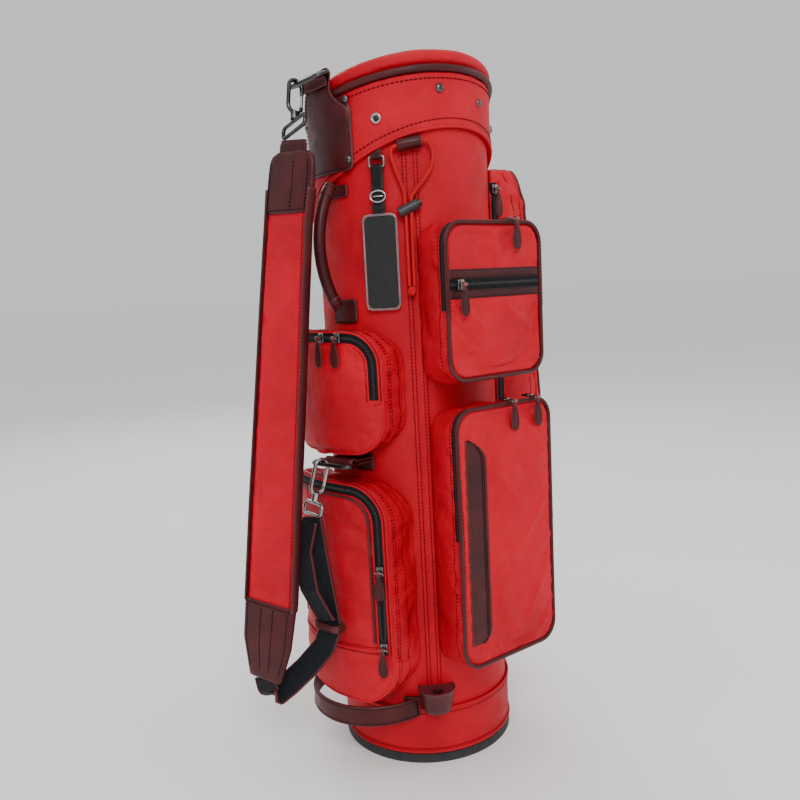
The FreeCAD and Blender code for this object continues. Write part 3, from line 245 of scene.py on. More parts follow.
RED = woven("nylon_red", rgb(207, 0, 34), rgb(172, 0, 25))
BASE_RED = woven("nylon_base", rgb(197, 0, 31), rgb(162, 0, 23))
PAD_RED = woven("nylon_pad", rgb(213, 0, 37), rgb(176, 0, 27))
LEATHER = hide("leather_brown", rgb(74, 12, 17), rgb(48, 7, 11), rgb(128, 62, 60))
DARK_LEATHER = hide("leather_strap", rgb(80, 19, 23), rgb(54, 12, 16), rgb(124, 66, 60), 0.38)
PULL_LEATHER = hide("leather_pull", rgb(78, 20, 24), rgb(50, 11, 14), rgb(160, 92, 86), 0.4)
BLACK_LEATHER = hide("leather_black", rgb(17, 16, 18), rgb(8, 8, 9), rgb(66, 64, 66), 0.36)
TAPE = corded("tape_black", rgb(16, 15, 17), rgb(6, 6, 7), 1.2)
WEB = corded("web_blue_black", rgb(30, 33, 42), rgb(10, 11, 15), 1.5, 0.66)
ELASTIC = corded("elastic_red", rgb(226, 8, 26), rgb(160, 2, 14), 1.6, 0.55)
THREAD = corded("thread_red", rgb(104, 2, 10), rgb(58, 0, 5), 0.8)
BROWN_THREAD = corded("thread_brown", rgb(30, 10, 11), rgb(14, 5, 6), 0.8)
GUN = metal("gunmetal", rgb(84, 82, 84), rgb(170, 167, 165), 0.24)
TEETH = moulded("zip_teeth", rgb(20, 19, 21), rgb(34, 32, 34), 0.34)
NICKEL = metal("nickel", rgb(168, 164, 160), rgb(226, 224, 220), 0.2)
RUBBER = moulded("rubber_black", rgb(22, 21, 22), rgb(40, 39, 39), 0.6, 900.0, 0.0002)
MAROON = moulded("plastic_maroon", rgb(74, 20, 24), rgb(48, 12, 16), 0.42)
BLACK = moulded("plastic_black", rgb(20, 20, 21), rgb(38, 37, 38), 0.38)
DIVIDER = moulded("plastic_divider", rgb(34, 33, 35), rgb(54, 52, 53), 0.5)
LINING = woven("lining_black", rgb(30, 29, 31), rgb(18, 17, 19), 1.3, 0.7, 0.2)
GLASS = moulded("fibreglass", rgb(196, 190, 170), rgb(150, 144, 126), 0.45, 500.0)
CARD = moulded("card_black", rgb(10, 10, 11), rgb(18, 17, 18), 0.4, 2200.0, 0.00006)
VINYL = clear_vinyl()


# ---------------------------------------------------------------- shapes
def place(bearing, radius, height):
    """Points on the round body from bearings in degrees, radii and heights."""
    angle = np.radians(np.asarray(bearing, float))
    return np.stack(np.broadcast_arrays(radius * np.sin(angle), -radius * np.cos(angle), height), -1)


def outward(bearing):
    return place(bearing, 1.0, 0.0)


def unit(vectors):
    return vectors / np.maximum(np.linalg.norm(vectors, axis=-1, keepdims=True), 1e-9)


def grid(rows, columns, wrap_rows=False):
    """Four-sided faces between rows of points that each close on themselves."""
    faces = []
    for i in range(rows if wrap_rows else rows - 1):
        row, under = i * columns, (i + 1) % rows * columns
        for j in range(columns):
            following = (j + 1) % columns
            faces.append((row + j, row + following, under + following, under + j))
    return faces


def skin(rings, closed=False):
    """Points and faces of a tube through rings of points; an open one gets capped ends."""
    rows, columns = rings.shape[:2]
    faces = grid(rows, columns, wrap_rows=closed)
    if not closed:
        faces.append(tuple(range(columns))[::-1])
        faces.append(tuple(range((rows - 1) * columns, rows * columns)))
    return rings.reshape(-1, 3), faces


def join(*parts):
    points, faces, count = [], [], 0
    for more, polygons in parts:
        points.append(np.asarray(more, float).reshape(-1, 3))
        faces += [tuple(i + count for i in polygon) for polygon in polygons]
        count += len(points[-1])
    return np.vstack(points), faces


def build(name, part, material, body="root", slot=None, replaces=(), sharp=None, ride=True):
    """A mesh object from points in millimetres, which rides on a body."""
    points, faces = part
    mesh = bpy.data.meshes.new(name)
    mesh.from_pydata((np.asarray(points) * MM).tolist(), [], [tuple(int(i) for i in f) for f in faces])
    mesh.validate()
    work = bmesh.new()
    work.from_mesh(mesh)
    bmesh.ops.recalc_face_normals(work, faces=work.faces)
    work.to_mesh(mesh)
    work.free()
    mesh.polygons.foreach_set("use_smooth", [True] * len(mesh.polygons))
    if sharp:
        mesh.set_sharp_from_angle(angle=math.radians(sharp))
    mesh.materials.append(material)
    item = bpy.data.objects.new(name, mesh)
    bpy.context.scene.collection.objects.link(item)
    if ride:
        settle(item, body, replaces)
    return item


def settle(item, body, replaces=()):
    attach(item, body)
    if replaces:
        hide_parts(*replaces)
    return item


def resample(path, step=None, closed=False, count=None):
    """The path's points, evenly spaced along it."""
    path = np.asarray(path, float)
    line = np.vstack([path, path[:1]]) if closed else path
    run = np.concatenate([[0], np.cumsum(np.linalg.norm(np.diff(line[:, :3], axis=0), axis=1))])
    count = count or max(3, int(round(run[-1] / step)) + (0 if closed else 1))
    spots = np.linspace(0, run[-1], count, endpoint=not closed)
    return np.stack([np.interp(spots, run, line[:, k]) for k in range(line.shape[1])], -1)


def spline(points, count):
    """A smooth open curve through the points."""
    p = np.asarray(points, float)
    p = np.vstack([2 * p[0] - p[1], p, 2 * p[-1] - p[-2]])
    out = []
    spans = len(p) - 3
    for s in np.linspace(0, spans - 1e-6, count):
        k, t = int(s), s - int(s)
        a, b, c, d = p[k:k + 4]
        out.append(0.5 * (2 * b + (c - a) * t + (2 * a - 5 * b + 4 * c - d) * t ** 2
                          + (3 * b - a - 3 * c + d) * t ** 3))
    return np.array(out)


def frames(path, normals, closed=False):
    if closed:
        along = np.roll(path, -1, 0) - np.roll(path, 1, 0)
    else:
        along = np.gradient(path, axis=0)
    along = unit(along)
    normals = unit(normals - along * np.sum(normals * along, -1, keepdims=True))
    return along, normals, np.cross(along, normals)


def sweep(path, normals, profile, closed=False, lift=0.0):
    """A closed profile carried along a path; its second measure is along the normals."""
    along, up, side = frames(path, normals, closed)
    profile = np.asarray(profile, float)
    rings = path[:, None] + side[:, None] * profile[None, :, :1] + up[:, None] * (profile[None, :, 1:] + lift)
    return skin(rings, closed)


def oval(wide, tall=None, count=10):
    tall = wide if tall is None else tall
    angle = np.linspace(0, TAU, count, endpoint=False)
    return np.stack([wide * np.cos(angle), tall * np.sin(angle)], -1)


def flat(width, height, sunk=0.6, crown=0.15):
    """A strip's cross-section: flat with rounded edges, its underside just in the cloth."""
    half = width / 2
    bend = min(height * 0.7, half * 0.4)
    return [(-half, -sunk), (half, -sunk), (half, height - bend), (half - bend * 0.4, height - bend * 0.3),
            (half - bend, height), (half * 0.3, height + crown), (-half * 0.3, height + crown),
            (-half + bend, height), (-half + bend * 0.4, height - bend * 0.3), (-half, height - bend)]


def band(half, thick, count=9):
    """A flat strap's cross-section with points across both faces."""
    across = np.linspace(-half, half, count)
    top = [(u, thick) for u in across]
    return [(-half - 0.2, 0.0)] + top + [(half + 0.2, 0.0)] + [(u, -thick) for u in across[::-1]]


def capsules(store, key, centres, along, up, length, radius):
    """Small rounded bars, such as stitches and zip teeth, kept until every one is known."""
    along = unit(along)
    up = unit(up - along * np.sum(up * along, -1, keepdims=True))
    side = np.cross(along, up)
    places = np.array((-0.5, -0.36, 0.0, 0.36, 0.5)) * length
    sizes = np.array((0.35, 0.95, 1.0, 0.95, 0.35)) * radius
    heights = np.array((-0.5, 0.1, 0.3, 0.1, -0.5)) * radius
    angle = np.linspace(0, TAU, 6, endpoint=False)
    rings = (centres[:, None, None] + along[:, None, None] * places[None, :, None, None]
             + side[:, None, None] * (sizes[:, None] * np.cos(angle))[None, :, :, None]
             + up[:, None, None] * (sizes[:, None] * np.sin(angle) + heights[:, None])[None, :, :, None])
    store.setdefault(key, []).append(rings)


def sew(key, path, normals, closed=False, pitch=4.4, length=3.1, radius=0.5, lift=0.25):
    """A line of stitches along a path that lies on a surface."""
    both = resample(np.hstack([path, normals]), pitch, closed)
    spots, ups = both[:, :3], unit(both[:, 3:])
    along, ups, side = frames(spots, ups, closed)
    capsules(threads, key, spots + ups * lift, along, ups, length, radius)


def spill(store, names):
    for key, groups in store.items():
        body, kind = key
        name, material, slot = names[kind]
        parts = [skin(ring) for group in groups for ring in group]
        build(f"{name}_{body}", join(*parts), material, body, slot)


def ripple(points, seed, size, height):
    """Smooth unevenness: a sum of waves in seeded directions."""
    rng = np.random.default_rng(seed)
    total = np.zeros(len(points))
    for _ in range(WAVES):
        direction = unit(rng.normal(size=3)) / (size * rng.uniform(0.6, 1.7))
        total += np.sin(points @ direction * TAU + rng.uniform(0, TAU))
    return total * height / math.sqrt(WAVES)


def fold(points, start, end, width, height):
    """A soft ridge or crease between two points, fading out at its ends."""
    start, end = np.asarray(start, float), np.asarray(end, float)
    line = end - start
    t = np.clip((points - start) @ line / (line @ line), 0, 1)
    away = np.linalg.norm(points - (start + t[:, None] * line), axis=1)
    fade = np.clip(np.minimum(t, 1 - t) * 5 + 0.15, 0, 1)
    return height * fade * np.exp(-(away / width) ** 2)


def coordinates(item):
    """The piece's points in millimetres."""
    co = np.zeros(len(item.data.vertices) * 3)
    item.data.vertices.foreach_get("co", co)
    return co.reshape(-1, 3) / MM


def put(item, points):
    item.data.vertices.foreach_set("co", (points * MM).ravel())
    item.data.update()


def baked(item, kind, **settings):
    """The object with one modifier worked into its mesh."""
    modifier = item.modifiers.new(kind.lower(), kind)
    for key, value in settings.items():
        setattr(modifier, key, value)
    graph = bpy.context.evaluated_depsgraph_get()
    mesh = bpy.data.meshes.new_from_object(item.evaluated_get(graph))
    item.modifiers.clear()
    old = item.data
    item.data = mesh
    bpy.data.meshes.remove(old)
    mesh.polygons.foreach_set("use_smooth", [True] * len(mesh.polygons))
    return item


def puff(item, held, pressure=4.0, cap=5.0, frames_run=20, spare=0.03):
    """Air pressure and a little spare cloth swell the piece; held points stay."""
    rest = coordinates(item)
    group = item.vertex_groups.new(name="held")
    group.add([int(i) for i in np.nonzero(held)[0]], 1.0, "REPLACE")
    cloth = item.modifiers.new("cloth", "CLOTH")
    settings = cloth.settings
    settings.quality = 5
    settings.mass = 0.3
    settings.tension_stiffness = 18
    settings.compression_stiffness = 12
    settings.bending_stiffness = 0.6
    settings.use_pressure = True
    settings.uniform_pressure_force = pressure
    settings.vertex_group_mass = "held"
    settings.shrink_min = -spare
    settings.effector_weights.gravity = 0
    cloth.collision_settings.use_collision = False
    cloth.point_cache.frame_start, cloth.point_cache.frame_end = 1, frames_run
    scene = bpy.context.scene
    for step in range(1, frames_run + 1):
        scene.frame_set(step)
    graph = bpy.context.evaluated_depsgraph_get()
    swollen = item.evaluated_get(graph)
    co = np.zeros(len(rest) * 3)
    swollen.data.vertices.foreach_get("co", co)
    moved = co.reshape(-1, 3) / MM - rest
    item.modifiers.clear()
    item.vertex_groups.clear()
    scene.frame_set(1)
    far = np.linalg.norm(moved, axis=1, keepdims=True)
    moved *= np.where(far > 1e-6, cap * np.tanh(far / cap) / np.maximum(far, 1e-6), 1.0)
    put(item, rest + moved)
    return item


def surface(item):
    mesh = item.data
    points = [v.co / MM for v in mesh.vertices]
    return BVHTree.FromPolygons(points, [tuple(p.vertices) for p in mesh.polygons])


def snap(tree, path, closed=False):
    """The nearest points on a surface, with its normals, both evened out along the path."""
    found = [tree.find_nearest(Vector(p)) for p in path]
    spots = np.array([f[0] for f in found])
    normals = np.array([f[1] for f in found])
    for _ in range(EVENINGS):
        if closed:
            spots = (np.roll(spots, 1, 0) + 2 * spots + np.roll(spots, -1, 0)) / 4
            normals = (np.roll(normals, 1, 0) + 2 * normals + np.roll(normals, -1, 0)) / 4
        else:
            spots[1:-1] = (spots[:-2] + 2 * spots[1:-1] + spots[2:]) / 4
            normals[1:-1] = (normals[:-2] + 2 * normals[1:-1] + normals[2:]) / 4
    return spots, unit(normals)


# ---------------------------------------------------------------- round body, cuff and rim
def around(radius, height, slope, section, count=200, sides=14, wave=None):
    """A round section carried round the bag in a plane that falls towards the back."""
    bearing = np.linspace(-180, 180, count, endpoint=False)
    centre = place(bearing, radius, 0.0)
    centre[:, 2] = height - slope * centre[:, 1]
    angle = np.linspace(0, TAU, sides, endpoint=False)
    size = np.full(count, section) * (1 + (wave(centre) if wave else 0.0))
    rings = (centre[:, None] + outward(bearing)[:, None] * (size[:, None, None] * np.cos(angle)[None, :, None])
             + UP * (size[:, None, None] * np.sin(angle)[None, :, None]))
    return skin(rings, closed=True)


def wall(outer, inner, low, high, relief=None, columns=288, rows=130):
    """A closed round wall between two heights that may fall towards the back."""
    bearing = np.linspace(-180, 180, columns, endpoint=False)
    rings = []
    for radius, shares in ((outer, np.linspace(0, 1, rows)), (inner, np.linspace(1, 0, 4))):
        y = place(bearing, radius, 0.0)[:, 1]
        bottom = low[0] - low[1] * y
        top = high[0] - high[1] * y
        for share in shares:
            z = bottom + (top - bottom) * share
            r = np.full(columns, radius)
            if relief is not None and radius == outer:
                r = r + relief(bearing, z, share)
            rings.append(place(bearing, r, z))
    return skin(np.array(rings), closed=True)


def ridge(value, centre, width):
    return np.exp(-((value - centre) / width) ** 2)


def body_relief(bearing, z, share):
    points = place(bearing, BODY_R, z)
    sag = np.minimum(ripple(points, 3, 120, 0.5) + ripple(points, 4, 45, 0.25), 0.0)
    seams = sum(0.9 * ridge(bearing, at, 0.55) for at in SEAM_BEARINGS)
    beside = sum(-0.7 * ridge(bearing, at, 1.6) for at in (-38.4, -32.8, -27.2, 41, 128, 171))
    return np.clip(sag + seams + beside, -1.6, 0.9) * np.clip(np.minimum(share, 1 - share) * 25, 0, 1)


def cuff_relief(bearing, z, share):
    points = place(bearing, CUFF_R, z)
    pucker = 0.28 * np.sin(np.radians(bearing) * 118 / 7.5 * 2 + 2 * np.sin(np.radians(bearing) * 9))
    near = np.exp(-share / 0.1) + np.exp(-(1 - share) / 0.08)
    seams = 0.7 * ridge(bearing, -38, 0.5) + 0.7 * ridge(bearing, 120, 0.5)
    sag = np.minimum(ripple(points, 8, 60, 0.3), 0)
    return sag - 0.3 + pucker * near + seams - 0.6 * ridge(bearing, -36, 1.2)


def round_path(radius, height, slope, count=400):
    bearing = np.linspace(-180, 180, count, endpoint=False)
    path = place(bearing, radius, 0.0)
    path[:, 2] = height - slope * path[:, 1]
    return path, outward(bearing)


def make_tube():
    seat = 12.3
    part = wall(BODY_R, 109.2, (seat, 0.0), (RIM, RIM_SLOPE), body_relief, rows=190)
    build("body_fabric", part, RED, slot="nylon", replaces=["body_shell"])
    for bearing in SEAM_BEARINGS:
        z = np.linspace(80, 735 + 0.52 * 113 * math.cos(math.radians(bearing)), 260)
        for side in (-1.1, 1.1):
            path = place(bearing + side, 113.15, z)
            sew(RED_STITCH, path, outward(np.full(len(z), bearing + side)))

    part = wall(CUFF_R, SKIN_R, (SEAM, SEAM_SLOPE), (RIM - 5.2, RIM_SLOPE), cuff_relief, rows=44)
    build("cuff_fabric", part, RED, slot="nylon", replaces=["cuff_shell"])
    build("cuff_piping", around(117.2, SEAM, SEAM_SLOPE, 2.3, 260, 8), RED, slot="nylon")
    for height, slope in ((RIM - 11.5, RIM_SLOPE), (SEAM + 8.5, SEAM_SLOPE)):
        path, normals = round_path(118.0, height, slope)
        sew(RED_STITCH, path, normals, closed=True, pitch=5.6, length=4.0, radius=0.62)

    def grain(centre):
        return 0.03 * ripple(centre, 12, 25, 1.0)

    build("rim_piping_leather", around(118, RIM, RIM_SLOPE, 4.5, 260, 12, grain), LEATHER, slot="leather",
          replaces=["rim_piping"])

    def soft(centre):
        return -0.02 + 0.014 * ripple(centre, 14, 40, 1.0)

    height = RIM + 14.5
    roll = build("rim_roll_fabric", around(106, height, RIM_SLOPE, 12.2, 220, 26, soft), RED, ride=False)
    points = coordinates(roll)
    low = points[:, 2] < height - RIM_SLOPE * points[:, 1] - 7.0
    puff(roll, low, cap=2.2, spare=0.03)
    baked(roll, "SUBSURF", levels=1)
    settle(roll, "root", ["rim_roll"])
    build("rim_seam", around(112.5, RIM + 4.2, RIM_SLOPE, 2.0, 240, 8), LEATHER, slot="leather")

    foot = wall(BAND_R, SKIN_R, (12.4, 0.0), (74.0, 0.0), band_relief, rows=30)
    build("base_band_fabric", foot, BASE_RED, slot="base_nylon", replaces=["base_band"])
    for height in (19.0, 67.5):
        path, normals = round_path(115.5, height, 0.0)
        sew(RED_STITCH, path, normals, closed=True, pitch=4.8, length=3.4, radius=0.45)
    for name, height, size in (("base_piping_low", 14.6, 1.7), ("base_piping_high", 73.6, 1.5)):
        build(name, around(BAND_R, height, 0.0, size, 240, 8), BASE_RED, slot="base_nylon")


def band_relief(bearing, z, share):
    return np.minimum(ripple(place(bearing, BAND_R, z), 21, 50, 0.25), 0.0) - 0.1


# ---------------------------------------------------------------- pockets
def rounded(half, low, high, corner, flat_count=12, bend=9):
    """A rounded rectangle, the same number of points whatever its size."""
    corner = max(min(corner, half - 0.01, (high - low) / 2 - 0.01), 0.2)
    centres = [(half - corner, low + corner, -90), (half - corner, high - corner, 0),
               (-half + corner, high - corner, 90), (-half + corner, low + corner, 180)]
    arcs = []
    for u, z, start in centres:
        angle = np.radians(np.linspace(start, start + 90, bend))
        arcs.append(np.stack([u + corner * np.cos(angle), z + corner * np.sin(angle)], -1))
    points = []
    for index, arc in enumerate(arcs):
        following = arcs[(index + 1) % 4][0]
        shares = np.linspace(0, 1, flat_count + 2)[1:-1, None]
        points += [arc, arc[-1] + (following - arc[-1]) * shares]
    return np.vstack(points)


class Pocket:
    """One pocket's outlines, in its own across, outward and upward measures."""

    def __init__(self, side, back_width, back_low, back_high, face_width, face_low, face_high, corner, back, face):
        self.side, self.corner, self.back, self.face = side, corner, back, face
        self.back_outline = (back_width, back_low, back_high)
        self.face_outline = (face_width, face_low, face_high)
        self.curved = side != "front"

    def world(self, u, d, z):
        if self.side == "front":
            return np.stack([u, -d, z], -1)
        if self.side == "strap":
            return np.stack([-d, u, z], -1)
        z = np.minimum(z, 737.6 - 0.52 * u)
        return np.stack([d, u, z], -1)

    def limit(self, z):
        """The face's distance from the bag's centre, where it is round."""
        if self.side != "garment":
            return np.full(np.shape(z), float(self.face))
        t = (z - 470) / 350
        return 117.5 + 64.5 * np.sqrt(np.clip(1 - np.abs(t) ** 2.1, 0, 1))

    def along(self, share, inset=0.0, **counts):
        """Points at one share of the way from the back outline to the face outline, per point."""
        a = np.array(self.back_outline, float)
        b = np.array(self.face_outline, float)
        first = rounded(a[0] - inset, a[1] + inset, a[2] - inset, self.corner - inset, **counts)
        last = rounded(b[0] - inset, b[1] + inset, b[2] - inset, self.corner - inset, **counts)
        share = np.asarray(share)[:, None] if np.ndim(share) else share
        flat_points = first + (last - first) * share
        depth = self.back + (self.face - self.back) * np.ravel(share)
        return flat_points, np.broadcast_to(depth, len(flat_points))

    def share_at(self, radius, inset=0.0, **counts):
        """How far along the gusset each outline point meets a distance from the bag's centre."""
        count = len(self.along(0.0, inset, **counts)[0])
        low, high = np.zeros(count), np.ones(count) * 1.2
        for _ in range(30):
            middle = (low + high) / 2
            flat_points, depth = self.along(middle, inset, **counts)
            goal = radius(flat_points[:, 1]) if callable(radius) else radius
            inside = np.hypot(flat_points[:, 0], depth) < goal
            low, high = np.where(inside, middle, low), np.where(inside, high, middle)
        return low

    def edge(self, behind=0.0, inset=0.0, **counts):
        """The face's outline, or a line on the gusset behind it."""
        if not self.curved:
            share = 1 - behind / (self.face - self.back)
            flat_points, depth = self.along(share, inset, **counts)
            return self.world(flat_points[:, 0], depth, flat_points[:, 1])
        share = self.share_at(lambda z: self.limit(z) - behind, 0.0, **counts)
        flat_points, depth = self.along(share, 0.0, **counts)
        if inset:
            whole, _ = self.along(1.0, inset, **counts)
            outer, _ = self.along(1.0, 0.0, **counts)
            flat_points = flat_points + (whole - outer)
            depth = np.sqrt(np.maximum((self.limit(flat_points[:, 1]) - behind) ** 2 - flat_points[:, 0] ** 2, 1))
        return self.world(flat_points[:, 0], depth, flat_points[:, 1])

    def part(self):
        """The pocket as a closed block: back, gusset and face."""
        first = self.share_at(BACK_R)
        last = self.share_at(self.limit) if self.curved else np.ones(len(first))
        rings = []
        back_flat, back_depth = self.along(first)
        middle = np.array([0.0, back_flat[:, 1].mean()])
        for share in (0.15, 0.5, 0.8):
            points = middle + (back_flat - middle) * share
            depth = np.sqrt(np.maximum(BACK_R ** 2 - points[:, 0] ** 2, 1))
            rings.append(self.world(points[:, 0], depth, points[:, 1]))
        for share in np.linspace(0, 1, 10):
            points, depth = self.along(first + (last - first) * share)
            rings.append(self.world(points[:, 0], depth, points[:, 1]))
        edge_flat, edge_depth = self.along(last)
        middle = np.array([0.0, edge_flat[:, 1].mean()])
        for share in (0.93, 0.8, 0.6, 0.4, 0.2, 0.05):
            points = middle + (edge_flat - middle) * share
            if self.curved:
                depth = np.sqrt(np.maximum(self.limit(points[:, 1]) ** 2 - points[:, 0] ** 2, 1))
            else:
                depth = np.full(len(points), float(self.face))
            rings.append(self.world(points[:, 0], depth, points[:, 1]))
        return skin(np.array(rings))


POCKETS = {
    "front_upper": Pocket("front", 56, 494, 689, 76, 504, 686, 24, 85, 170),
    "front_lower": Pocket("front", 49, 129, 461, 77, 157, 472, 24, 85, 177),
    "side_upper": Pocket("strap", 85, 425, 562, 98, 413, 568, 40, 60, 150),
    "side_lower": Pocket("strap", 85, 108, 372, 104, 97, 384, 44, 60, 160),
    "garment": Pocket("garment", 84, 130, 770, 84, 130, 770, 40, 60, 182),
}
FOLDS = {
    "front_upper": [((-66, -170, 600), (-20, -170, 560), 7, 1.7), ((-70, -170, 575), (-30, -170, 540), 6, -1.4),
                    ((-60, -170, 528), (5, -170, 575), 7, 1.6), ((10, -170, 590), (62, -170, 552), 8, 1.4),
                    ((70, -170, 590), (30, -170, 530), 6, -1.3), ((-50, -170, 512), (30, -170, 524), 6, 1.0),
                    ((40, -170, 512), (72, -170, 545), 6, 1.5), ((-70, -170, 545), (-68, -170, 515), 5, 1.4),
                    ((-50, -170, 668), (20, -170, 650), 8, 0.8), ((60, -170, 675), (20, -170, 640), 7, -0.8)]
    + [((x, -170, 601), (x + 5, -170, 578 + 7 * (k % 3)), 4.2, 0.75) for k, x in enumerate(range(-62, 68, 11))],
    "front_lower": [((20, -177, 455), (70, -177, 400), 8, 1.5), ((-10, -177, 430), (60, -177, 350), 9, -1.3),
                    ((-25, -177, 400), (30, -177, 330), 8, 1.4), ((70, -177, 350), (0, -177, 280), 9, 1.3),
                    ((-20, -177, 300), (50, -177, 215), 9, -1.2), ((70, -177, 270), (20, -177, 190), 8, 1.5),
                    ((-20, -177, 235), (20, -177, 170), 8, 1.2), ((74, -177, 210), (45, -177, 170), 6, 1.5)],
    "side_upper": [((-100, -99, 482), (-140, -84, 478), 4, 1.2), ((-98, -100, 430), (-138, -90, 418), 6, 1.6),
                   ((-125, -80, 470), (-145, -10, 478), 5, -1.6), ((-125, -85, 455), (-150, 0, 440), 8, 1.5),
                   ((-130, -70, 425), (-150, 10, 455), 8, -1.2), ((-150, 40, 540), (-140, 70, 430), 10, 1.2),
                   ((-115, -98, 440), (-125, -75, 420), 6, 1.8), ((-140, -50, 540), (-150, 10, 500), 9, 0.9)],
    "side_lower": [((-140, -70, 360), (-155, -20, 290), 9, 1.3), ((-130, -80, 300), (-158, -20, 240), 9, -1.3),
                   ((-140, -75, 250), (-158, -10, 190), 8, 1.4), ((-150, -50, 200), (-158, 30, 160), 9, -1.1),
                   ((-125, -95, 170), (-150, -30, 130), 6, 1.6), ((-155, 30, 330), (-140, 80, 200), 10, 1.3),
                   ((-120, -100, 130), (-145, -60, 112), 6, 1.5)],
    "garment": [((150, -60, 600), (180, 10, 500), 11, 1.7), ((160, -60, 450), (180, 20, 350), 12, -1.6),
                ((150, 60, 520), (178, 0, 420), 12, 1.6), ((150, -60, 300), (165, 30, 220), 10, 1.6),
                ((140, 60, 320), (160, 0, 250), 10, -1.4), ((130, -60, 200), (150, 20, 170), 9, 1.6)],
}


def zip_path(name):
    """The middle line of the zip, over the top and down both sides, as the sliders run."""
    pocket = POCKETS[name]
    counts = dict(flat_count=40, bend=16)
    if name == "garment":
        z = np.linspace(200, 745, 160)
        return np.stack([np.full(160, 85.0), np.full(160, -84.0), z], -1)
    if pocket.curved:
        path = pocket.edge(0.0, 9.0, **counts)
    else:
        path = pocket.edge(8.0, 0.0, **counts)
    low = {"front_upper": 585, "front_lower": 311, "side_upper": 484, "side_lower": 165}[name]
    start = int(np.argmin(path[:, 2]))
    path = np.roll(path, -start, axis=0)
    return path[path[:, 2] > low]


def clearance(points, lines):
    """Each point's distance from the nearest of the lines."""
    near = np.full(len(points), 1e9)
    for line in lines:
        for chunk in np.array_split(line, max(1, len(line) // 40)):
            near = np.minimum(near, np.linalg.norm(points[:, None] - chunk[None], axis=2).min(1))
    return near


def make_pocket(name):
    pocket = POCKETS[name]
    item = build(f"{name}_fabric", pocket.part(), RED, ride=False)
    size = 0.0056 if name == "garment" else 0.0044
    baked(item, "REMESH", mode="VOXEL", voxel_size=size)
    baked(item, "SMOOTH", factor=0.5, iterations=2)
    points = coordinates(item)
    lines = [zip_path(name), pocket.edge()]
    if name == "front_upper":
        lines += [np.stack([np.linspace(-76, 76, 60), np.full(60, -170.0), np.full(60, z)], -1)
                  for z in (600, 608, 615, 622, 630)]
    if name == "front_lower":
        lines += [np.stack([np.full(60, float(x)), np.full(60, -177.0), np.linspace(185, 430, 60)], -1)
                  for x in (-31, -44, -57)]
    near = clearance(points, lines)
    reach = 9.0 if pocket.curved else 7.5
    held = (near < reach) | (np.hypot(points[:, 0], points[:, 1]) < 117.0)
    cap = dict(front_upper=4.0, front_lower=4.2, side_upper=5.0, side_lower=5.5, garment=6.0)[name]
    puff(item, held, cap=cap, spare=0.045)
    baked(item, "SUBSURF", levels=1)
    points = coordinates(item)
    near = clearance(points, lines)
    seams = [pocket.edge(behind) for behind in ((9.0, 12.0, 24.0) if pocket.curved else (17.0,))]
    calm = np.clip(0.15 + clearance(points, seams) / 9, 0, 1)
    normals = np.array([v.normal for v in item.data.vertices])
    off_bag = np.clip((np.hypot(points[:, 0], points[:, 1]) - 115) / 8, 0, 1)
    loose = np.clip((near - reach * 0.8) / 9, 0, 1) * off_bag
    move = ripple(points, 31 + len(name), 38, 0.4) + ripple(points, 57 + len(name), 15, 0.14)
    for start, end, width, height in FOLDS[name]:
        move = move + fold(points, start, end, width * 0.6, height * 2.0)
    put(item, points + normals * (move * loose * calm)[:, None])
    settle(item, "root", [f"{name}_pouch"])
    return surface(item)


def close_zip(path, normals, gap=None):
    """Two rows of teeth that mesh; where the zip is open they stand apart."""
    both = resample(np.hstack([path, normals]), TOOTH_PITCH)
    spots, ups = both[:, :3], unit(both[:, 3:])
    along, ups, side = frames(spots, ups)
    apart = np.zeros(len(spots)) if gap is None else gap(spots)
    row = np.arange(len(spots)) % 2 * 2 - 1
    for sign in (-1, 1):
        use = (row == sign) | (apart > 0.3)
        middle = spots[use] + side[use] * (sign * (0.55 + apart[use]))[:, None] - ups[use] * 0.15
        capsules(teeth, ("root", "teeth"), middle, side[use], ups[use], 3.4, 0.75)


def trim(name, path, normals, profile, material, slot, body="root", closed=False, lift=0.0,
         replaces=()):
    """A profile swept along a path, as a piece."""
    return build(name, sweep(path, normals, profile, closed, lift), material, body, slot, replaces)


def lines_beside(path, normals, offsets, key=RED_STITCH, closed=False, **sizes):
    """Stitch lines at distances to either side of a path."""
    along, ups, side = frames(path, normals, closed)
    for offset in offsets:
        sew(key, path + side * offset, ups, closed, **sizes)


def dress_zip(name, tree, replaces=()):
    """Tape, teeth, lips and stitching of a pocket's own zip."""
    path = resample(zip_path(name), 3.0)
    spots, normals = snap(tree, path)
    wide = 14.0 if name.startswith("front") else 12.4
    trim(f"{name}_tape", spots, normals, flat(wide, 0.45, 0.5, 0.05), TAPE, "zip_tape", replaces=replaces,
         lift=0.1)
    gap = None
    if name == "side_lower":
        def gap(points):
            along = (points[:, 2] - 182) / (272 - 182)
            return np.where(points[:, 1] < 0, 3.1 * np.sqrt(np.clip(4 * along * (1 - along), 0, 1)), 0.0)
    close_zip(spots + normals * 0.55, normals, gap)
    along, ups, side = frames(spots, normals)
    for index, sign in enumerate((-1, 1)):
        trim(f"{name}_lip{index}", spots + side * sign * (wide / 2 + 0.5), ups, oval(1.1, 1.0, 8), RED, "nylon",
             lift=0.1)
        lines_beside(spots, ups, [sign * (wide / 2 + 3.0)], pitch=4.4)


def gusset_seams(tree, pocket, distances, flat_count=30, step=3.0):
    """Stitch lines round the gusset, at distances behind the face."""
    for behind in distances:
        line = resample(pocket.edge(behind, flat_count=flat_count, bend=16), step, closed=True)
        spots, normals = snap(tree, line, closed=True)
        sew(RED_STITCH, spots, normals, closed=True)


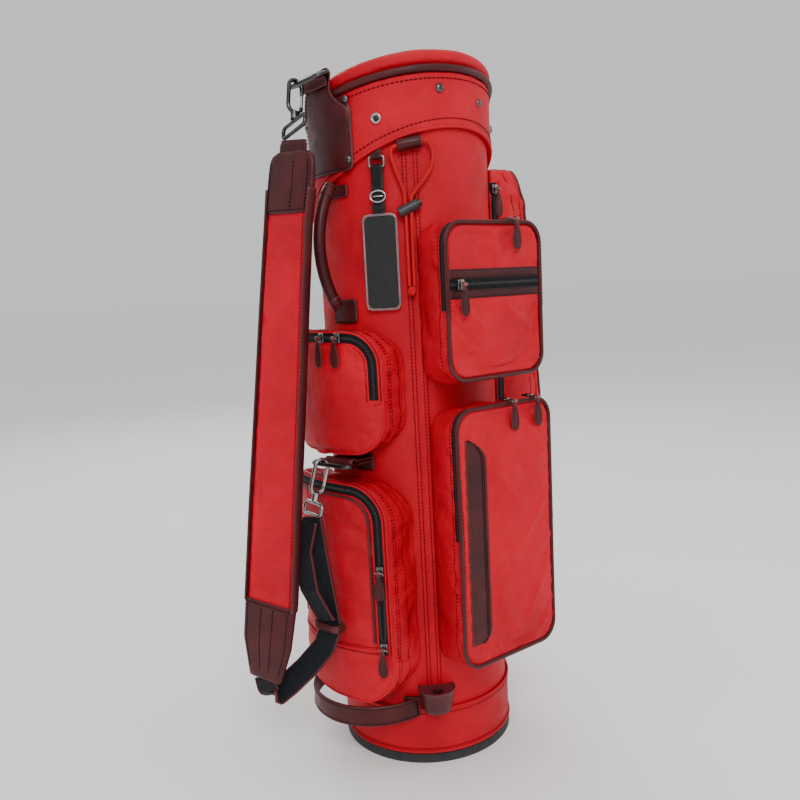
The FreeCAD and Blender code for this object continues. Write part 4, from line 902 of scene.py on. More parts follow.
def dress_front(name, tree):
    pocket = POCKETS[name]
    dress_zip(name, tree, [f"{name}_zip"])
    outline = resample(pocket.edge(0.0, flat_count=30, bend=16), 3.0, closed=True)
    centre = outline.mean(0)
    away = unit(unit(outline - centre) * (1, 0, 1) + np.array((0, -0.9, 0)))
    trim(f"{name}_piping", outline, away, oval(2.5, 2.5, 10), LEATHER, "leather", closed=True, lift=-0.8)
    toward = unit((centre - outline) * (1, 0, 1))
    spots, normals = snap(tree, outline + toward * 4.6, closed=True)
    sew(RED_STITCH, spots, normals, closed=True, pitch=4.4)
    gusset_seams(tree, pocket, (17.0,))


def panel_strip(name, tree, path, width, height, material, slot, seams):
    spots, normals = snap(tree, resample(path, 3.0))
    trim(name, spots, normals, flat(width, height, 0.5), material, slot)
    lines_beside(spots + normals * height, normals, seams, BROWN_STITCH, pitch=4.2, lift=0.1)


def dress_front_upper(tree):
    dress_front("front_upper", tree)

    def level(z, half):
        return np.stack([np.linspace(-half, half, 60), np.full(60, -170.0), np.full(60, z)], -1)

    spots, normals = snap(tree, level(615, 71.5))
    trim("chest_tape", spots, normals, flat(13.0, 0.4, 0.5, 0.05), TAPE, "zip_tape", lift=-0.15)
    close_zip(spots + normals * 0.35, normals)
    panel_strip("chest_band_low", tree, level(603.6, 72.5), 10.0, 0.9, LEATHER, "leather", (-3.6, 3.6))
    panel_strip("chest_band_high", tree, level(626.8, 72.5), 11.0, 0.9, LEATHER, "leather", (-4.0, 4.0))


def dress_front_lower(tree):
    dress_front("front_lower", tree)
    z = np.linspace(186, 436, 70)
    left = np.full(70, -66.0)
    right = -33.0 - 26 * np.clip((z - 408) / 28, 0, 1) ** 2 - 10 * np.clip((200 - z) / 14, 0, 1) ** 2
    rows = []
    for k in range(70):
        span = np.linspace(left[k], right[k], 9)
        spots = np.array([tree.find_nearest(Vector((x, -177.0, z[k])))[0] for x in span])
        front = spots + (0, -0.9, 0)
        front[[0, -1], 1] += 0.45
        rows.append(np.vstack([front, (spots + (0, 0.8, 0))[::-1]]))
    build("front_lower_band", skin(np.array(rows)), LEATHER, slot="leather")
    edge = np.array([row[7] for row in rows]) + (-0.6, -0.15, 0)
    sew(BROWN_STITCH, edge, np.tile((0.0, -1.0, 0.0), (70, 1)), pitch=4.0)
    other = np.array([row[6] for row in rows]) + (0.4, -0.1, 0)
    sew(BROWN_STITCH, other[3:-3], np.tile((0.0, -1.0, 0.0), (64, 1)), pitch=4.0)


def dress_side(name, tree):
    pocket = POCKETS[name]
    dress_zip(name, tree, [f"{name}_zip"])
    outline = resample(pocket.edge(0.0, 0.0, flat_count=30, bend=16), 3.0, closed=True)
    spots, normals = snap(tree, outline, closed=True)
    trim(f"{name}_welt", spots, normals, oval(1.6, 1.6, 8), RED, "nylon", closed=True, lift=0.2)
    gusset_seams(tree, pocket, (9.0, 12.0, 24.0))
    if name == "side_upper":
        line = np.stack([np.linspace(-112, -138, 20), np.full(20, -96.0), np.linspace(481, 478, 20)], -1)
        spots, normals = snap(tree, line)
        sew(RED_STITCH, spots, normals)
    if name == "side_lower":
        u = np.linspace(-87, 87, 90)
        line = np.stack([-np.sqrt(160 ** 2 - u ** 2), u, np.full(90, 172.0)], -1)
        spots, normals = snap(tree, line)
        trim("side_lower_band_piping", spots, normals, oval(1.7, 1.5, 8), RED, "nylon", lift=0.3)
        lines_beside(spots, normals, (-4.0, 4.0), pitch=4.4)
        path = resample(pocket.edge(0.0, 19.0, flat_count=40, bend=16), 3.0)
        path = np.roll(path, -int(np.argmin(path[:, 2])), axis=0)
        spots, normals = snap(tree, path[path[:, 2] > 180])
        trim("side_lower_inner_piping", spots, normals, oval(1.8, 1.6, 8), LEATHER, "leather", lift=0.5)


def dress_garment(tree):
    dress_zip("garment", tree, ["garment_zip"])
    pocket = POCKETS["garment"]
    outline = resample(pocket.edge(0.0, 0.0, flat_count=40, bend=16), 4.0, closed=True)
    spots, normals = snap(tree, outline, closed=True)
    trim("garment_piping", spots, normals, oval(2.0, 2.0, 8), LEATHER, "leather", closed=True, lift=0.4)
    gusset_seams(tree, pocket, (8.0, 20.0), 40, 4.0)


# ---------------------------------------------------------------- sliders and pulls
def hinges():
    found = {}
    for joint in frame["joints"]:
        if joint["name"].endswith("_pull_flip"):
            label = joint["name"][:-len("_pull_flip")]
            found[label] = (np.array(joint["pos_m"]) / MM, np.array(joint["axis"], float))
    return found


def local(points, origin, right):
    """From measures to the right, outwards and up to the row frame."""
    out = np.cross(UP, right)
    points = np.asarray(points, float)
    return origin + points[:, :1] * right + points[:, 1:2] * out + points[:, 2:3] * UP


def seat(part, origin, right):
    """A part moved from its own measures to the row frame."""
    return local(part[0], origin, right), part[1]


def rightward(bearing):
    """The level direction along the bag's side at a bearing."""
    angle = math.radians(bearing)
    return np.array((-math.cos(angle), -math.sin(angle), 0.0))


def wrapped(route, section):
    """A strap whose middle line runs through outward and upward measures."""
    line = spline([(0, d, z) for d, z in route], 70)
    tangent = unit(np.gradient(line, axis=0))
    normal = np.stack([0 * tangent[:, 0], -tangent[:, 2], tangent[:, 1]], -1)
    return sweep(line, normal, section)


def pillow(centre, size, bevel, segments=3):
    """A block with rounded edges."""
    work = bmesh.new()
    bmesh.ops.create_cube(work, size=1.0)
    for vertex in work.verts:
        vertex.co = Vector([vertex.co[k] * size[k] + centre[k] for k in range(3)])
    bmesh.ops.bevel(work, geom=list(work.edges) + list(work.verts), offset=bevel, segments=segments,
                    profile=0.5, affect="EDGES")
    points = np.array([v.co for v in work.verts])
    work.verts.index_update()
    faces = [tuple(v.index for v in f.verts) for f in work.faces]
    work.free()
    return points, faces


def rod(start, end, radius, sides=12):
    start, end = np.asarray(start, float), np.asarray(end, float)
    along = unit(end - start)
    helper = UP if abs(along[2]) < 0.9 else np.array((1.0, 0.0, 0.0))
    first = unit(np.cross(along, helper))
    second = np.cross(along, first)
    angle = np.linspace(0, TAU, sides, endpoint=False)
    circle = np.cos(angle)[:, None] * first + np.sin(angle)[:, None] * second
    rings = []
    round_off = along * radius * 0.3
    for spot, size in ((start, 0.75), (start + round_off, 1), (end - round_off, 1), (end, 0.75)):
        rings.append(spot + circle * radius * size)
    return skin(np.array(rings))


def slider_part(over_edge):
    if over_edge:
        body = pillow((0, -18, 0.6), (9.6, 12, 2.6), 1.1)
        crown = pillow((0, -15, 2.1), (3.4, 9, 1.6), 0.7)
        arms = [pillow((side * 4.1, -6.6, 0), (1.7, 14.8, 1.8), 0.6) for side in (-1, 1)]
    else:
        body = pillow((0, -6.4, 0), (9.6, 2.8, 12), 1.1)
        crown = pillow((0, -4.6, 0.5), (3.4, 1.6, 9), 0.7)
        arms = [pillow((side * 4.1, -2.2, 0), (1.7, 6.0, 1.8), 0.6) for side in (-1, 1)]
    return join(body, crown, *arms, rod((-4.6, 0, 0), (4.6, 0, 0), 0.9))


PULL_HEIGHTS = np.array((-3.0, -6, -9, -12, -15, -18.5, -23, -27.5, -31, -33.5, -35, -35.6))
PULL_HALVES = np.array((2.3, 2.5, 3.1, 4.1, 5.1, 5.9, 6.4, 6.4, 5.8, 4.5, 3.0, 1.0))


def pull_part():
    """A teardrop of two leather layers with a rolled eye."""
    angle = np.linspace(0, TAU, 20, endpoint=False)
    rings = []
    for height, wide in zip(PULL_HEIGHTS, PULL_HALVES):
        x = np.sign(np.cos(angle)) * np.abs(np.cos(angle)) ** 0.6 * wide
        y = np.sign(np.sin(angle)) * np.abs(np.sin(angle)) ** 0.5 * (1.2 if wide > 1 else 0.8)
        rings.append(np.stack([x, y, np.full(20, height)], -1))
    eye = []
    for angle_at in np.linspace(0, TAU, 20, endpoint=False):
        row = []
        for x, size in ((-2.5, 2.4), (-2.3, 2.6), (2.3, 2.6), (2.5, 2.4), (2.4, 1.15), (-2.4, 1.15)):
            row.append((x, size * math.sin(angle_at), size * math.cos(angle_at)))
        eye.append(row)
    return join(skin(np.array(rings)), skin(np.array(eye), closed=True))


def make_sliders():
    leather = pull_part()
    z, half = PULL_HEIGHTS, PULL_HALVES
    line = np.vstack([np.stack([half[2:-1] - 1.5, np.full(9, 1.15), z[2:-1]], -1),
                      np.stack([-half[2:-1] + 1.5, np.full(9, 1.15), z[2:-1]], -1)[::-1]])
    over = ("front_upper", "front_lower_left", "front_lower_right")
    for label, (origin, right) in hinges().items():
        build(f"{label}_slider_cast", seat(slider_part(label in over), origin, right), GUN, f"{label}_slider",
              "gunmetal", [f"{label}_slider"], sharp=40)
        build(f"{label}_pull_leather", seat(leather, origin, right), PULL_LEATHER, f"{label}_pull",
              "pull_leather", [f"{label}_pull"])
        out = np.cross(UP, right)
        for face in (1, -1):
            seam = local(line * (1, face, 1), origin, right)
            sew((f"{label}_pull", "pull"), seam, np.tile(out * face, (len(seam), 1)), closed=True, pitch=2.4,
                length=1.7, radius=0.26, lift=0.05)


# ---------------------------------------------------------------- shoulder strap
TONGUE = [((-161, -2, 795), -80, 45, 5), ((-162, -1.5, 789), -80, 46, 5), ((-164, -0.8, 772), -80, 46, 5)]
PAD = [((-163.2, -1.1, 781), -80, 56, 8), ((-163.5, -1, 779.5), -80, 64, 8), ((-163.9, -0.9, 776.5), -80, 71, 8.4),
       ((-164.5, -0.7, 772), -80, 76, 8.8), ((-165.2, -0.5, 766), -80, 79, 9.2), ((-168, 0, 745), -79, 80, 10),
       ((-175, 1, 700), -78, 75, 13), ((-190, 1, 590), -75, 75, 13),
       ((-205, 0, 480), -72, 75, 13), ((-221, 0, 362), -69, 75, 13), ((-236, 0, 245), -67, 75, 13),
       ((-244, 3, 190), -66, 70, 10), ((-247, 9, 142), -66, 46, 8)]
WEB_MAIN = [((-185.5, -25, 342), -77), ((-183, -31, 290), -77), ((-180, -38, 240), -77), ((-177, -42, 206), -77),
            ((-186, -35, 178), -74), ((-204, -20, 152), -71), ((-224, -4, 129), -68), ((-237, 4, 117.5), -66),
            ((-245, 8, 122), -66), ((-247.6, 9.3, 140.5), -66)]
WEB_SPARE = [((-185, -43, 214), -77), ((-200, -32, 255), -77), ((-203, -27, 305), -77), ((-191.5, -25.5, 338.5), -77)]


class Ribbon:
    """A flat strap's middle line with its width, thickness and facing at each point."""

    def __init__(self, sections, count):
        table = np.array([[*centre, bearing, width, thickness] for centre, bearing, width, thickness in sections])
        self.table = resample(table, count=count)
        self.path = self.table[:, :3].copy()
        for _ in range(max(1, count // 60)):
            self.path[1:-1] = (self.path[:-2] + 2 * self.path[1:-1] + self.path[2:]) / 4
        along = unit(np.gradient(self.path, axis=0))
        angle = np.radians(self.table[:, 3])
        across = np.stack([np.cos(angle), np.sin(angle), 0 * angle], -1)
        self.across = unit(across - along * np.sum(across * along, -1, keepdims=True))
        self.normal = unit(np.cross(along, self.across))
        if np.sum(self.normal[len(self.normal) // 2] * outward(self.table[len(self.table) // 2, 3])) < 0:
            self.normal = -self.normal

    def rings(self, first=0, last=None, grow=0.0, sides=32, power=0.42, crown=1.0, trim_edge=0.0):
        last = last or len(self.path)
        angle = np.linspace(0, TAU, sides, endpoint=False)
        cos, sin = np.cos(angle), np.sin(angle)
        wide = np.sign(cos) * np.abs(cos) ** power
        tall = np.sign(sin) * np.abs(sin) ** (power + 0.35)
        half = self.table[first:last, 4] / 2 + grow - trim_edge
        thick = (self.table[first:last, 5] / 2 + grow) * crown
        return (self.path[first:last, None] + self.across[first:last, None] * (half[:, None] * wide)[..., None]
                + self.normal[first:last, None] * (thick[:, None] * tall)[..., None])

    def at(self, index, side, lift):
        """A point on the strap at a share of its half width, lifted along its face."""
        return (self.path[index] + self.across[index] * (self.table[index, 4] / 2 * side)[..., None]
                + self.normal[index] * np.asarray(lift)[..., None])


def make_strap():
    ribbon = Ribbon(PAD, 150)
    z = ribbon.path[:, 2]
    red = np.nonzero((z < 742) & (z > 205))[0]
    first, last = red[0], red[-1] + 1
    pad = build("strap_pad_fabric", skin(ribbon.rings(first, last, sides=48, crown=0.86, trim_edge=1.0)), PAD_RED,
                ride=False)
    baked(pad, "REMESH", mode="VOXEL", voxel_size=0.0042)
    baked(pad, "SMOOTH", factor=0.5, iterations=2)
    points = coordinates(pad)
    index = np.clip(np.interp(-points[:, 2], -z, np.arange(len(z))).astype(int), 0, len(z) - 1)
    side = np.sum((points - ribbon.path[index]) * ribbon.across[index], axis=1) / (ribbon.table[index, 4] / 2)
    held = (np.abs(side) > 0.78) | (points[:, 2] > 697) | (points[:, 2] < 252)
    puff(pad, held, cap=3.5, spare=0.045)
    points = coordinates(pad)
    normals = np.array([v.normal for v in pad.data.vertices])
    off_ends = np.clip((np.minimum(703 - points[:, 2], points[:, 2] - 246)) / 10, 0, 1)
    loose = np.clip((0.86 - np.abs(side)) * 6, 0, 1) * off_ends
    put(pad, points + normals * ((ripple(points, 71, 40, 0.5) + ripple(points, 72, 16, 0.22)) * loose)[:, None])
    baked(pad, "SUBSURF", levels=1)
    settle(pad, "shoulder_strap", ["strap_pad"])

    top = np.nonzero(z > 706)[0][-1] + 1
    foot = np.nonzero(z < 242)[0][0]
    short = np.clip(top - 1 - np.arange(top), 0, 6) * (z[0] - z[1])
    whole = ribbon.table[:top, 4].copy()
    ribbon.table[:top, 4] -= 2 * (9 - np.sqrt(np.maximum(81 - np.maximum(9 - short, 0) ** 2, 0)))
    upper = ribbon.rings(0, top, grow=0.9, sides=40, power=0.34)
    ribbon.table[:top, 4] = whole
    tongue = Ribbon(TONGUE, 24)
    build("strap_tongue", skin(tongue.rings(sides=32, power=0.3)), DARK_LEATHER, "shoulder_strap", "strap_leather")
    fold_rows = tongue.rings(4, 15, grow=0.7, sides=32, power=0.3)
    build("strap_tongue_fold", skin(fold_rows), LEATHER, "shoulder_strap", "strap_leather")
    lower = ribbon.rings(foot, None, grow=0.9, sides=40, power=0.34)
    build("strap_leather_top", skin(upper), DARK_LEATHER, "shoulder_strap", "strap_leather")
    build("strap_leather_foot", skin(lower), DARK_LEATHER, "shoulder_strap", "strap_leather")
    key = ("shoulder_strap", "brown")
    rows = np.arange(first, foot + 2)
    for number, sign in enumerate((-1, 1)):
        edge = ribbon.at(rows, np.full(len(rows), sign * 0.965), np.zeros(len(rows)))
        trim(f"strap_binding{number}", edge, ribbon.normal[rows], oval(2.6, 6.9, 14), DARK_LEATHER, "strap_leather",
             "shoulder_strap")
        thick = ribbon.table[rows, 5] / 2
        for face in (1, -1):
            seam = ribbon.at(rows, np.full(len(rows), sign * 0.89), face * (thick * 0.98 + 0.35))
            sew(key, seam, ribbon.normal[rows] * face, pitch=4.4, length=3.1)
    for span, places in ((np.arange(3, top - 2), (-0.86, 0.22, 0.86)),
                         (np.arange(foot + 2, len(z) - 3), (-0.84, -0.25, 0.25, 0.84))):
        for share in places:
            lift = (ribbon.table[span, 5] / 2 + 0.9) * (1 - abs(share) ** 6) ** 0.25
            sew(key, ribbon.at(span, np.full(len(span), share), lift + 0.1), ribbon.normal[span], pitch=4.2)
    for spot in (top - 2, foot + 1):
        share = np.linspace(-0.86, 0.86, 40)
        rows = np.full(40, spot)
        lift = (ribbon.table[spot, 5] / 2 + 0.9) * (1 - np.abs(share) ** 6) ** 0.25 + 0.1
        sew(key, ribbon.at(rows, share, lift), ribbon.normal[rows], pitch=4.2)

    webs = []
    for name, route, wide in (("main", WEB_MAIN, 32), ("spare", WEB_SPARE, 30)):
        sections = [(centre, bearing, wide, 3.4) for centre, bearing in route]
        web = Ribbon(sections, 110 if name == "main" else 50)
        webs.append(web)
        part = skin(web.rings(sides=24, power=0.25))
        build(f"strap_web_{name}", part, WEB, "shoulder_strap", "strap_leather",
              ["strap_webbing"] if name == "main" else ())
        rows = np.arange(len(web.path))
        for number, sign in enumerate((-1, 1)):
            edge = web.at(rows, np.full(len(rows), sign * 0.985), np.zeros(len(rows)))
            trim(f"strap_web_{name}_edge{number}", edge, web.normal, oval(1.1, 2.0, 8), DARK_LEATHER, "strap_leather",
                 "shoulder_strap")
    corners = [(-19.5, -8.6), (19.5, -8.6), (19.5, 8.6), (-19.5, 8.6)]
    outline = []
    for k, (x, y) in enumerate(corners):
        for share in np.linspace(0.12, 0.88, 8):
            following = corners[(k + 1) % 4]
            outline.append((x + (following[0] - x) * share, y + (following[1] - y) * share))
    angle = math.radians(-77)
    right = np.array((-math.cos(angle), -math.sin(angle), 0.0))
    middle = np.array((185 * math.sin(angle), -185 * math.cos(angle), 0))
    path = local([(x, y, 206.5) for x, y in outline], middle, right)
    centre = path.mean(0)
    ups = unit((path - centre) * (1, 1, 0))
    section = [(-4.3, -0.9), (4.3, -0.9), (4.3, 0.7), (3.4, 1.1), (-3.4, 1.1), (-4.3, 0.7)]
    trim("strap_keeper_leather", path, ups, section, LEATHER, "strap_leather", "shoulder_strap", closed=True, replaces=["strap_keeper"])
    for share in (-3.0, 3.0):
        sew(key, path + UP * share + ups * 1.1, ups, closed=True, pitch=3.0, length=2.0, radius=0.3)


# ---------------------------------------------------------------- leather on the cuff and side
def plate(name, bearing, half_angle, low, high, inner, thick, material, slot, corner=6.0, replaces=(),
          shape=None, count=40):
    """A leather plate that lies round the bag; `shape` gives its half angle at each height."""
    rows = []
    shares = np.linspace(0, 1, count)
    edges = []
    for share in shares:
        spread = half_angle if shape is None else shape(share)
        sides = np.linspace(-1, 1, 25) * spread + bearing
        top = high(sides) if callable(high) else np.full(25, float(high))
        z = low + (top - low) * share
        height = (top - low).mean()
        near = min(share, 1 - share) * height
        if near < corner:
            cut = corner - math.sqrt(max(corner ** 2 - (corner - near) ** 2, 0))
            sides = bearing + (sides - bearing) * (1 - cut / (math.radians(spread) * inner))
        soft = np.full(25, inner + thick)
        soft[[0, -1]] -= 0.55 * thick
        soft[[1, -2]] -= 0.12 * thick
        if near < 0.4:
            soft -= 0.5 * thick
        rows.append(np.vstack([place(sides, soft, z), place(sides, inner, z)[::-1]]))
        edges.append((sides, z))
    build(name, skin(np.array(rows)), material, slot=slot, replaces=replaces)
    inset = math.degrees(2.6 / inner)
    left = [(s[0] + inset, z[0]) for s, z in edges[3:-3]]
    right = [(s[-1] - inset, z[-1]) for s, z in edges[3:-3]]
    lower = list(zip(edges[2][0][2:-2], edges[2][1][2:-2] + 0.4))
    path = left[::-1] + lower + right
    spots = np.array([place(a, inner + thick, h) for a, h in path])
    sew(BROWN_STITCH, spots, np.array([outward(a) for a, h in path]), pitch=4.2)


def dome(centre, normal, radius, height, rim=0.0):
    """A round metal head with a turned edge."""
    normal = unit(np.asarray(normal, float))
    first = unit(np.cross(UP, normal))
    second = np.cross(normal, first)
    angle = np.linspace(0, TAU, 24, endpoint=False)
    circle = np.cos(angle)[:, None] * first + np.sin(angle)[:, None] * second
    profile = [(1.0, -0.5), (1.0, 0.35), (0.93, 0.75)]
    if rim:
        profile += [(0.8, 0.95), (0.66, 0.8), (0.55, 0.35), (0.5, 0.3)]
    else:
        profile += [(0.8, 1.35), (0.58, 1.9), (0.3, 2.25), (0.08, 2.35)]
    return skin(np.array([centre + circle * radius * r + normal * height * h for r, h in profile]))


def make_patch():
    def top(bearings):
        return RIM - 5.6 + RIM_SLOPE * 118 * np.cos(np.radians(bearings))

    def shoulders(share):
        return 24.0 - 7.0 * max(0.0, (share - 0.72) / 0.28) ** 2.2

    plate("patch_leather", -90, 24, 756.0, top, 118.35, 2.5, DARK_LEATHER, "leather", 9.0, replaces=["strap_patch"],
          shape=shoulders, count=60)
    turns = np.linspace(-0.5, math.pi + 0.9, 16)
    around_eye = [(-125.4 + 5.0 * math.cos(a), 870 + 5.0 * math.sin(a)) for a in turns]
    route = [(-119.6, 800), (-120.0, 812), (-121.6, 822), (-123.6, 834), (-124.6, 842), (-124.3, 852),
             (-122.2, 860)] + around_eye + [(-127.0, 862.5), (-126.3, 856)]
    line = spline([(x, 0, z) for x, z in route], 90)
    tangent = unit(np.gradient(line, axis=0))
    up = np.stack([-tangent[:, 2], 0 * tangent[:, 0], tangent[:, 0]], -1)
    rows, edges = [], []
    for k, (spot, lift) in enumerate(zip(line, up)):
        early = k < 45 and spot[2] < 858
        half = 27 + (20.5 * np.clip((858 - spot[2]) / 30, 0, 1) ** 2.1 if early else 0.0)
        y = np.linspace(-half, half, 25)
        bend = np.clip((862 - spot[2]) / 30, 0, 1) if early else 0.0
        back = bend * (120.8 - np.sqrt(120.8 ** 2 - y ** 2))
        middle = np.stack([spot[0] + back, y, np.full(25, spot[2])], -1)
        outer, inner = middle + lift * 1.15, middle - lift * 1.15
        outer[[0, -1]] -= lift * 0.6
        inner[[0, -1]] += lift * 0.6
        rows.append(np.vstack([outer, inner[::-1]]))
        edges.append((middle[2] + lift * 1.2, middle[-3] + lift * 1.2, lift))
    build("patch_loop", skin(np.array(rows)), DARK_LEATHER, slot="leather")
    for side in (0, 1):
        seam = np.array([edge[side] for edge in edges[12:46]])
        sew(BROWN_STITCH, seam, np.array([edge[2] for edge in edges[12:46]]))
    heads = []
    for bearing, height in ((-111, 820), (-69, 838), (-111, 769), (-69, 769)):
        heads.append(dome(place(bearing, 121.2, height), outward(bearing), 4.6, 1.25))
    for bearing, height in ((-13, 844), (19, 833), (51, 812), (90, 800), (129, 770), (-129, 770)):
        heads.append(dome(place(bearing, 118.4, height), outward(bearing), 5.2, 1.1))
    ring = dome(place(-51, 118.4, 812), outward(-51), 6.4, 1.9, rim=1.0)
    centre = dome(place(-51, 118.6, 812), outward(-51), 3.4, 0.7)
    build("studs_domed", join(*heads), GUN, slot="gunmetal", replaces=["cuff_studs"], sharp=50)
    build("stud_ring", ring, NICKEL, slot="nickel", sharp=60)
    build("stud_centre", centre, BLACK, slot="black_plastic")


def tube_along(path, radius, sides=16, wave=0.0, seed=1):
    path = np.asarray(path, float)
    along = unit(np.gradient(path, axis=0))
    helper = np.tile(UP, (len(path), 1))
    helper[np.abs(along[:, 2]) > 0.92] = (1.0, 0.0, 0.0)
    reference = helper[0]
    ups = []
    for tangent in along:
        reference = unit(reference - tangent * np.dot(reference, tangent))
        ups.append(reference)
    ups = np.array(ups)
    size = np.broadcast_to(radius, len(path)) * (1 + wave * ripple(path, seed, 12, 1.0))
    angle = np.linspace(0, TAU, sides, endpoint=False)
    side = np.cross(along, ups)
    rings = (path[:, None] + side[:, None] * (size[:, None] * np.cos(angle))[..., None]
             + ups[:, None] * (size[:, None] * np.sin(angle))[..., None])
    return skin(rings)


def make_grip():
    angle_at = math.radians(-81)
    axis = np.array((math.sin(angle_at), -math.cos(angle_at)))
    t = np.linspace(-1, 1, 70)
    half, bow = 73.0, 24.0
    radius = (half ** 2 + bow ** 2) / (2 * bow)
    r = 126 + np.sqrt(radius ** 2 - (t * half) ** 2) - (radius - bow)
    path = np.stack([axis[0] * r, axis[1] * r, 668 + t * half], -1)
    size = 7.4 - 0.5 * np.exp(-((np.abs(t) - 0.93) / 0.02) ** 2)
    build("grip_leather", tube_along(path, size, 20, 0.008, 5), LEATHER, "grip", "leather", ["grip"])
    inner = -np.stack([np.full(70, axis[0]), np.full(70, axis[1]), np.zeros(70)], -1)
    along, ups, side = frames(path, inner)
    sew(("grip", "brown"), path + ups * 7.3, ups, pitch=4.0)
    for number, z in enumerate((733.0, 603.0)):
        spot = int(np.argmin(np.abs(path[:, 2] - z)))
        ring = path[spot - 2:spot + 3]
        build(f"grip_collar{number}", tube_along(ring, 7.9, 20), DARK_LEATHER, "grip", "leather")
    plate("grip_tab_top", -81, 8, 727.2, 742.0, 113.4, 3.3, LEATHER, "leather", 3.0, replaces=["side_tabs"], count=24)
    plate("grip_tab_low", -81, 10, 574, 604, 113.4, 3.3, DARK_LEATHER, "leather", 5.0, count=30)
    plate("ring_tab_plate", -77, 12, 389, 411, 113.4, 2.9, DARK_LEATHER, "leather", 4.0, count=24)
    right = rightward(-77)
    wrap = [(114.0, 2.1)] + [(d, 2.2) for d in (125, 135, 141)] \
        + [(147 + 4.9 * math.sin(a), 4.9 * math.cos(a)) for a in np.linspace(-0.6, math.pi + 0.6, 16)] \
        + [(d, -2.2) for d in (141, 135, 125)] + [(114.0, -2.1)]
    middle = np.array((0, 0, 405.0))
    build("ring_tab_tongue", seat(wrapped(wrap, band(23, 1.1)), middle, right), DARK_LEATHER, slot="leather")
    for x in (-20.5, 20.5):
        seam = local([(x, d, 3.45) for d in np.linspace(118, 138, 12)], middle, right)
        sew(BROWN_STITCH, seam, np.tile(UP, (12, 1)))


def make_base_handle():
    start = math.degrees(math.acos(-4 / 83.5))
    angle = np.radians(np.linspace(-start, start, 90))
    path = np.stack([-86.5 - 83.5 * np.cos(angle), -83.5 * np.sin(angle), np.full(90, 79.0)], -1)
    ups = np.stack([-np.cos(angle), -np.sin(angle), 0 * angle], -1)
    trim("base_handle_strap", path, ups, band(12.9, 1.6), DARK_LEATHER, "leather", replaces=["base_handle"])
    for share in (-10.2, 10.2):
        sew(BROWN_STITCH, path + UP * share + ups * 1.75, ups)
    for number, bearing in enumerate((-48, -132)):
        plate(f"base_handle_end{number}", bearing, 5.4, 65.6, 92.4, 115.7, 3.0, DARK_LEATHER, "leather", 3.0, count=22)


def tag_slab(inset, front, back):
    """A flat piece of the tag with slightly rounded faces."""
    shape = rounded(21.4 - inset, -167.9 + inset, -54.2 - inset, 7.5 - inset * 0.6, 20, 10)
    layers = ((0.985, back), (1.0, back * 0.6 + front * 0.4), (1.0, back * 0.4 + front * 0.6), (0.985, front))
    rings = [np.stack([shape[:, 0] * s, np.full(len(shape), y), (shape[:, 1] + 111) * s - 111], -1)
             for s, y in layers]
    return skin(np.array(rings))


def make_tag():
    angle = math.radians(-52)
    right = rightward(-52)
    origin = np.array((119 * math.sin(angle), -119 * math.cos(angle), 757.0))

    def hang(name, part, material, slot, **rest):
        build(name, seat(part, origin, right), material, "luggage_tag", slot, **rest)

    turn = np.linspace(-0.2, math.pi + 0.2, 14)
    wrap = [(0.75, -26), (0.75, -8)] + [(2.45 * math.cos(a), 2.45 * math.sin(a)) for a in turn] \
        + [(-0.75, -8), (-0.75, -54)]
    hang("tag_strap", wrapped(wrap, band(7, 0.6, 6)), BLACK_LEATHER, "leather", replaces=["luggage_tag"])
    hang("tag_card", tag_slab(2.4, 1.55, -1.55), CARD, "black_plastic", sharp=50)
    hang("tag_sleeve", tag_slab(0.3, 0.5, -0.5), VINYL, "tag_vinyl", sharp=50)
    outline = rounded(21.4, -167.9, -54.2, 7.5, 20, 10)
    rim = resample(np.stack([outline[:, 0], np.zeros(len(outline)), outline[:, 1]], -1), 3.0, True)
    away = unit(np.stack([outline[:, 0], 0 * outline[:, 0], outline[:, 1] + 111], -1))
    away = resample(away, count=len(rim), closed=True)
    hang("tag_edge", sweep(rim, away, oval(0.9, 0.9, 8), closed=True, lift=-0.5), VINYL, "tag_vinyl")
    turns = np.linspace(0, TAU, 32, endpoint=False)
    hoop = np.array([(9.3 * math.cos(a), 1.9, -34 + 6.6 * math.sin(a)) for a in turns])
    ring = sweep(hoop, np.tile((0.0, 1.0, 0.0), (32, 1)), oval(1.1, 0.9, 8), closed=True)
    pin = rod((-6.5, 2.6, -34), (6.0, 2.2, -34), 0.7, 8)
    hang("tag_buckle", join(ring, pin), NICKEL, "nickel")
    hang("tag_keeper", pillow((0, 0.2, -47), (16.4, 4.0, 4.6), 1.2), BLACK_LEATHER, "leather")
    x = np.linspace(-6.6, 6.6, 16)
    loop = local(np.stack([x, 0 * x, 0 * x + 12], -1), origin, right)
    part = tube_along(loop, 3.3 - 0.5 * np.exp(-((6.6 - np.abs(x)) / 0.5)), 20)
    base = seat(pillow((0, -3.3, 15.0), (12.6, 1.8, 13), 0.8), origin, right)
    build("tag_loop", join(part, base), LEATHER, slot="leather", sharp=60)


# ---------------------------------------------------------------- umbrella cord
LEFT_END, RIGHT_END = (-77.37, -93.43, 779.0), (-53.89, -108.68, 783.5)
LEFT_ROUTE = ((-42.6, 121.6, 778), (-43.6, 121.4, 770), (-42.0, 121, 757), (-39.6, 120.6, 742),
              (-37.4, 120.4, 730), (-36.4, 120.3, 719), (-36.4, 120.3, 616))
RIGHT_ROUTE = ((-23.2, 121.6, 785), (-20.6, 121.4, 778), (-19.4, 121.2, 766), (-21.2, 120.9, 753),
               (-22.15, 120.83, 750), (-24.05, 120.67, 744), (-25.0, 120.6, 741), (-26.15, 120.55, 738.25),
               (-28.45, 120.45, 732.75), (-29.6, 120.4, 730), (-30.6, 120.38, 727.25), (-32.6, 120.33, 721.75),
               (-33.6, 120.3, 719), (-33.6, 120.3, 616))


